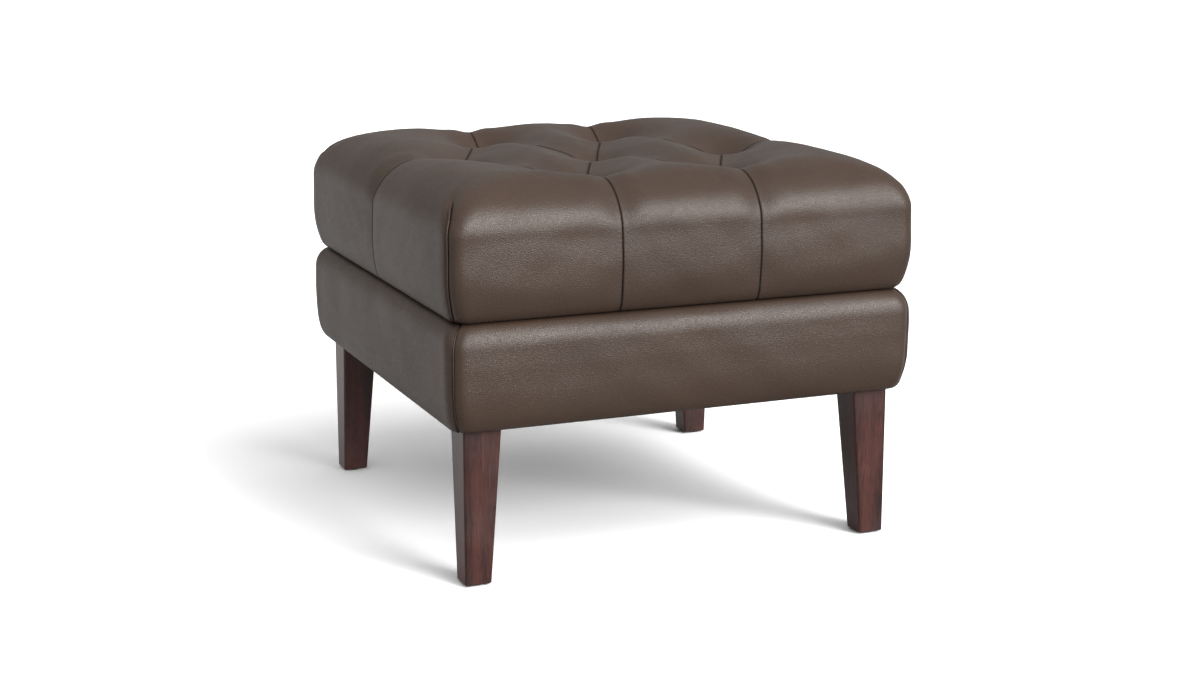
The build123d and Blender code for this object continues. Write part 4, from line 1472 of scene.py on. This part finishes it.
@dataclass
class Base:
    """The padded lower tier: four leather panels on foam, with a welt in each corner.

    Attributes:
        material: The leather's finish.
        welt_material: The welts'.
        half: Half the width across the bulge.
        bottom: The height of the leather's underside.
        top: The height of its top.
        top_width: The top roll's size inwards.
        top_height: The top roll's size downwards.
        foot_width: The bottom roll's size inwards.
        foot_height: The bottom roll's size upwards.
        bulge: How far the side stands out midway.
        profile_softness: How softly the profile's parts meet.
        corner_radius: The corners' radius in plan.
        corner_inset: The half width at which the corners would be sharp.
        frame_half: Half the width of the frame behind.
        lip: Half the width of the opening in the turned-in leather.
        leather: The leather's thickness.
        edge_rounding: The radius with which leather turns down at a seam.
        seam_gap: From the corner's middle to a panel's edge, which leaves room for the welt.
        crease: The crease in the corner seam.
        waves: The leather's unevenness.
        foot_calm: The heights over the bottom between which crease and waves begin.
        top_calm: The height under the top over which they end.
        fill: How full the panels are.
        welt_size: A welt's radius, and how far it reaches in behind its middle.
        welt_sink: How far its middle lies under the leather's form.
        welt_half: The half width beyond which the welt shows.
    """

    material: bpy.types.Material
    welt_material: bpy.types.Material
    half: float = 285.7
    bottom: float = 179.8
    top: float = 299.9
    top_width: float = 18.0
    top_height: float = 29.0
    foot_width: float = 11.5
    foot_height: float = 52.0
    bulge: float = 0.4
    profile_softness: float = 2.5
    corner_radius: float = 18.0
    corner_inset: float = 225.0
    frame_half: float = 264.15
    lip: float = 248.2
    leather: float = 1.2
    edge_rounding: float = 1.6
    seam_gap: float = 0.95
    crease: Crease = Crease(0.0, 1.0, 1.3, 7.0)
    waves: Waves = Waves((0.6, 150.0), (0.3, 52.0))
    foot_calm: tuple[float, float] = (2.0, 16.0)
    top_calm: float = 12.0
    fill: float = 0.9
    welt_size: tuple[float, float] = (0.95, 2.4)
    welt_sink: float = 2.2
    welt_half: float = 262.0

    def rows(self) -> Rows:
        """The side's rows from the underside's edge out, up and back in over the top.

        Each roll is a quarter of an ellipse, and the line is softened where they meet.

        Returns:
            The rows.
        """
        turn = np.linspace(0, math.pi / 2, 40)
        foot = np.stack([self.half - self.foot_width * (1 - np.sin(turn)),
                         self.bottom + self.foot_height * (1 - np.cos(turn))], axis=1)
        roll = np.stack([self.half - self.top_width * (1 - np.sin(turn[::-1])),
                         self.top - self.top_height * (1 - np.cos(turn[::-1]))], axis=1)
        middle = [[self.half + self.bulge, (foot[-1, 1] + roll[0, 1]) / 2]]
        start, end = [[self.lip, self.bottom]], [[self.lip, self.top]]
        line = np.concatenate([start, foot[:-3], middle, roll[3:], end])
        return Rows.along(softened(line, 0.5, self.profile_softness)[::4], 1)

    def radius_at(self, half: np.ndarray) -> np.ndarray:
        """The corners' radius in plan where the outline has a half width."""
        return np.minimum(self.corner_radius, half - self.corner_inset)

    def panel(self, seed: int) -> Surface:
        """The right panel, from corner seam to corner seam.

        Args:
            seed: Picks the leather's unevenness.

        Returns:
            A closed surface.
        """
        rows = self.rows()
        radius = self.radius_at(rows.half)[:, None]
        straight = rows.half[:, None] - radius
        total = straight + radius * math.pi / 4
        run = total - self.seam_gap
        place = seam_to_seam(2 * run[:, 0], middle=96) - run
        sign = np.sign(place)
        angle = np.clip((abs(place) - straight) / radius, 0, math.pi / 4)
        out, up, tall = (along_rows(value, place.shape) for value in (rows.out, rows.up, rows.height))
        normal = np.stack([np.cos(angle) * out, sign * np.sin(angle) * out, up], axis=-1)
        x = straight + radius * np.cos(angle)
        y = np.where(angle > 0, sign * (straight + radius * np.sin(angle)), place)
        points = np.stack([x, y, tall], axis=-1)
        seam = total - abs(place)
        low, high = self.foot_calm
        on_side = (smooth_step(self.bottom + low, self.bottom + high, tall)
                   * smooth_step(self.top, self.top - self.top_calm, tall))
        offset = (self.waves.at(points, seed) - self.crease.sunk(seam)) * on_side
        offset = offset - turned_down(seam - self.seam_gap, self.edge_rounding)
        back_half = np.minimum(rows.half, self.frame_half)[:, None]
        back_height = np.clip(tall, self.bottom + self.leather, self.top - self.leather)
        depth = np.broadcast_to(back_half, tall.shape)
        back = np.stack([depth, place * back_half / total, back_height], axis=-1)
        return closed_shell(points + normal * offset[..., None], back,
                            {"seam_distance": seam - self.seam_gap + 0.3, "seam_along": tall.copy()})

    def welt(self) -> Surface:
        """The back right welt, which follows the corner from the underside to the top."""
        rows = self.rows()
        inside = (rows.height > self.bottom + 0.3) & (rows.height < self.top - 0.3)
        rows = rows.resampled((rows.half > self.welt_half) & inside, count=60)
        radius = self.radius_at(rows.half)
        reach = math.sqrt(2) * (rows.half - radius) + radius
        corner = np.array([1, 1]) / math.sqrt(2)
        path = lifted(corner * reach[:, None], rows.height)
        outward = lifted(corner * rows.out[:, None], rows.up)
        across = np.broadcast_to([*corner * (1, -1), 0.0], path.shape)
        return welt_strip(path, across, outward, self.welt_size, np.full(len(path), self.welt_sink))

    def build(self) -> None:
        """Make every piece of the base's upholstery."""
        for side in Side:
            panel = turned(self.panel(20 + 3 * side.value), side.value)
            Piece(f"base_panel_{side.label}", panel, self.material, "leather",
                  (f"base_cover_{side.label}", f"base_pad_{side.label}"), self.fill).build()
        for place in Corner:
            Piece(f"base_corner_welt_{place.label}", mirrored(self.welt(), *place.value), self.welt_material,
                  "welt_leather", (f"base_welt_{place.label}",)).build()


@dataclass
class Underside:
    """The thin cloth stretched under the base.

    Attributes:
        material: The cloth's finish.
        half: Half its width.
        bottom: The height of its lower face at the staples.
        thickness: The cloth's thickness.
        rise: How far it is drawn up in the middle.
        ripple: How high its ripples are.
        held: The distance from the middle beyond which the rails hold it flat.
        free: The distance within which it hangs free.
    """

    material: bpy.types.Material
    half: float = 258.0
    bottom: float = 179.1
    thickness: float = 0.6
    rise: float = 1.6
    ripple: float = 0.35
    held: float = 232.0
    free: float = 190.0

    def build(self) -> None:
        """Make the cloth, drawn up a little between its stapled edges."""
        x, y = square_grid(97)
        points = lifted(np.stack([x, y], axis=-1) * self.half, self.bottom)
        inside = (1 - x**2) * (1 - y**2)
        away = np.maximum(abs(x), abs(y)) * self.half
        free = smooth_step(0.0, 0.2, inside) * smooth_step(self.held, self.free, away)
        lift = free * (self.rise + self.ripple * slow_waves(points, wavelength=90.0, seed=41))
        lower = points + np.array([0, 0, 1]) * lift[..., None]
        surface = closed_shell(lower, lower + np.array([0, 0, self.thickness]), {})
        cloth = Piece("dust_cloth", surface, self.material, "dust_cloth", ("dust_cover",)).build()


# The model's own nodes

@dataclass(frozen=True)
class Frame:
    """The model's nodes that stay, each dressed in a finish.

    Attributes:
        finishes: Each finish with the beginnings of its nodes' names.
    """

    finishes: tuple[tuple[bpy.types.Material, tuple[str, ...]], ...]

    def dress(self) -> None:
        """Put each finish on its nodes."""
        for material, starts in self.finishes:
            names = [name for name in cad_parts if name.startswith(starts)]
            for name in names:
                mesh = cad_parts[name].data
                if not mesh.materials:
                    mesh.materials.append(material)
                for index in range(len(mesh.materials)):
                    mesh.materials[index] = material
            log.info("%s: %d nodes", material.name, len(names))


# The studio

@dataclass(frozen=True)
class SoftLight:
    """One wide, soft light, so far off that it lights the whole floor alike.

    Attributes:
        name: The light's name.
        toward: The direction towards it.
        spread: How wide it looks, in degrees.
        strength: How bright it is.
        mirrored: True where glossy surfaces mirror it and it lights nothing, false where it only lights.
    """

    name: str
    toward: tuple[float, float, float]
    spread: float
    strength: float
    mirrored: bool = False

    def build(self) -> None:
        """Add the light to the scene."""
        light = bpy.data.lights.new(self.name, "SUN")
        light.angle = math.radians(self.spread)
        light.energy = self.strength
        lamp = bpy.data.objects.new(self.name, light)
        lamp.visible_glossy = self.mirrored
        lamp.visible_diffuse = not self.mirrored
        bpy.context.scene.collection.objects.link(lamp)
        x, y, z = self.toward
        lamp.rotation_euler = (math.atan2(math.hypot(x, y), z), 0, math.atan2(x, -y))


def grey(value: float) -> tuple[float, float, float, float]:
    """A grey as a shader colour."""
    return (value, value, value, 1)


@dataclass
class Studio:
    """The floor, the lights and the camera.

    Attributes:
        lens: The camera's focal length in millimetres, on a 36 mm sensor.
        place: The camera's place in metres.
        pitch: How far it looks down, in degrees.
        yaw: How far it looks to the right of +Y, in degrees.
        floor_half: Half the floor's width in metres.
        floor_colour: The floor's tone as the camera sees it.
        floor_bounce: Its tone for the light that it throws back.
        floor_mirrored: Its tone as glossy surfaces mirror it behind the table.
        near_mirrored: The same in front of the table.
        mirrored_step: Between which places from front to back the two meet, in metres.
        floor_lift: The extra tone that the camera sees, lit from the front more than from above.
        lift_facing: The direction that this extra tone faces.
        world_light: How bright the surroundings are above.
        horizon_light: How bright they are at the horizon.
        horizon_span: The heights of the directions between which the two meet.
        world_mirrored: How bright the surroundings look in glossy surfaces.
        backdrop: How bright the camera sees them.
        front_gain: How much brighter they are in front than at the side.
        lights: The soft lights.
    """

    lens: float = 60.38
    place: tuple[float, float, float] = (-0.9355, -2.2711, 0.7526)
    pitch: float = 12.499
    yaw: float = 22.52
    floor_half: float = 60.0
    floor_colour: float = 0.4
    floor_bounce: float = 0.3
    floor_mirrored: float = 0.44
    near_mirrored: float = 0.12
    mirrored_step: tuple[float, float] = (-0.36, -0.16)
    floor_lift: float = 0.74
    lift_facing: tuple[float, float, float] = (0.25, -0.75, 0.6)
    world_light: float = 1.2
    horizon_light: float = 0.28
    horizon_span: tuple[float, float] = (0.15, 0.7)
    world_mirrored: float = 0.4
    backdrop: float = 1.5
    front_gain: float = 0.45
    lights: tuple[SoftLight, ...] = (
        SoftLight("low_key", (0.42, -0.84, 0.36), 30.0, 2.5),
        SoftLight("high_key", (0.3, -0.5, 0.82), 34.0, 1.1),
        SoftLight("soft_box", (0.41, -0.82, 0.385), 30.0, 3.35, mirrored=True),
        SoftLight("low_glow", (0.43, -0.88, 0.16), 30.0, 0.42, mirrored=True),
    )

    def floor_material(self) -> bpy.types.Material:
        """The pale floor, with tones of its own for the camera, for mirrored rays and for thrown light."""
        material, tree, shader, place = start_material("pale_floor")
        light_path = tree.add("ShaderNodeLightPath").outputs
        seen = light_path["Is Camera Ray"]
        behind = tree.spread(tree.add("ShaderNodeSeparateXYZ", {0: place}).outputs["Y"], *self.mirrored_step)
        mirrored = tree.mix(behind, grey(self.near_mirrored), grey(self.floor_mirrored))
        unseen = tree.mix(light_path["Is Glossy Ray"], grey(self.floor_bounce), mirrored)
        tree.put(tree.mix(seen, unseen, grey(self.floor_colour)), shader.inputs["Base Color"])
        shader.inputs["Roughness"].default_value = 0.9
        shader.inputs["Specular IOR Level"].default_value = 0.0
        facing = tree.add("ShaderNodeCombineXYZ", dict(enumerate(self.lift_facing))).outputs[0]
        lift = tree.add("ShaderNodeBsdfDiffuse", {
            "Color": tree.mix(seen, grey(0), grey(self.floor_lift)), "Normal": facing})
        both = tree.add("ShaderNodeAddShader", {0: shader.outputs[0], 1: lift.outputs[0]})
        tree.put(both.outputs[0], material.node_tree.nodes["Material Output"].inputs["Surface"])
        return material

    def floor(self) -> None:
        """Lay a wide, plain, pale floor."""
        half = self.floor_half
        corners = [(-half, -half, 0), (half, -half, 0), (half, half, 0), (-half, half, 0)]
        mesh = bpy.data.meshes.new("floor")
        mesh.from_pydata(corners, [], [(0, 1, 2, 3)])
        mesh.materials.append(self.floor_material())
        ground = bpy.data.objects.new("floor", mesh)
        bpy.context.scene.collection.objects.link(ground)

    def surroundings(self) -> None:
        """Make the pale surroundings, brighter above than at the horizon and in front than behind."""
        world = bpy.data.worlds.new("studio")
        world.use_nodes = True
        background = world.node_tree.nodes["Background"]
        background.inputs["Color"].default_value = grey(1)
        tree = Tree(world.node_tree)
        toward = tree.add("ShaderNodeTexCoord").outputs["Generated"]
        parts = tree.add("ShaderNodeSeparateXYZ", {0: toward}).outputs
        above = tree.spread(parts["Z"], *self.horizon_span, self.horizon_light, self.world_light)
        sky = tree.times(above, tree.math("MULTIPLY_ADD", parts["Y"], -self.front_gain, 1.0))
        light_path = tree.add("ShaderNodeLightPath").outputs
        mirrored = tree.between(light_path["Is Glossy Ray"], sky, self.world_mirrored)
        seen = tree.times(light_path["Is Camera Ray"], self.backdrop)
        tree.put(tree.math("MAXIMUM", mirrored, seen), background.inputs["Strength"])
        bpy.context.scene.world = world

    def camera(self) -> None:
        """Stand the camera where the photograph was taken."""
        data = bpy.data.cameras.new("camera")
        data.lens = self.lens
        data.sensor_fit = "HORIZONTAL"
        data.sensor_width = 36.0
        data.clip_end = 300.0
        camera = bpy.data.objects.new("camera", data)
        bpy.context.scene.collection.objects.link(camera)
        camera.location = self.place
        camera.rotation_euler = (math.radians(90 - self.pitch), 0, math.radians(-self.yaw))
        bpy.context.scene.camera = camera

    def build(self) -> None:
        """Make the floor, the surroundings, the lights and the camera."""
        self.floor()
        self.surroundings()
        for light in self.lights:
            light.build()
        self.camera()
        bpy.context.scene.view_settings.view_transform = "Standard"
        bpy.context.scene.view_settings.look = "None"
        log.info("studio: camera at %s", self.place)


def main() -> None:
    """Build the table's looks piece by piece, then the studio."""
    logging.basicConfig(level=logging.INFO, format="%(name)s %(message)s")
    effects = Effects()
    leather = Leather("brown_leather").build(effects)
    welt_leather = Leather("brown_welt_leather", grain=900.0).build(effects)
    foam = Mottled("cream_foam", (0.62, 0.55, 0.36), (0.78, 0.72, 0.5), 0.95, scale=90.0, depth=0.0006)
    cloth = Cloth("dust_cover_cloth", (0.03, 0.03, 0.032), (0.008, 0.008, 0.008))
    twine = Mottled("waxed_twine", (0.42, 0.36, 0.26), (0.58, 0.5, 0.38), 0.7, scale=240.0)
    Cushion(leather, foam.build(effects), welt_leather).build()
    Base(leather, welt_leather).build()
    Underside(cloth.build(effects)).build()
    Ties(twine.build(effects)).build()
    mahogany = Wood("stained_legs", (0.016, 0.0034, 0.0024), (0.090, 0.0205, 0.0135), (0.008, 0.003, 0.002),
                    0.42, coat=1.0)
    plywood = Wood("birch_plywood", (0.42, 0.29, 0.17), (0.60, 0.45, 0.29), (0.3, 0.19, 0.1), 0.6,
                   figure=30.0)
    timber = Wood("frame_timber", (0.36, 0.24, 0.13), (0.52, 0.38, 0.23), (0.25, 0.15, 0.08), 0.65)
    zinc = Mottled("bright_zinc", (0.42, 0.42, 0.43), (0.6, 0.6, 0.61), 0.32, 1.0, 70.0, 0.00005)
    glide = Mottled("black_glides", (0.02, 0.02, 0.021), (0.035, 0.035, 0.036), 0.42)
    hardware = ("tuft_washers", "block_screws", "cleat_screws", "seat_screws", "staples", "hanger_bolts",
                "tee_nuts")
    Frame((
        (mahogany.build(effects), ("leg_",)),
        (plywood.build(effects), ("rail_", "seat_board")),
        (timber.build(effects), ("corner_block", "cleat_left", "cleat_right")),
        (zinc.build(effects), hardware),
        (glide.build(effects), ("foot_glides",)),
    )).dress()
    Studio().build()


if __name__ == "__main__":
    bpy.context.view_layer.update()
    main()
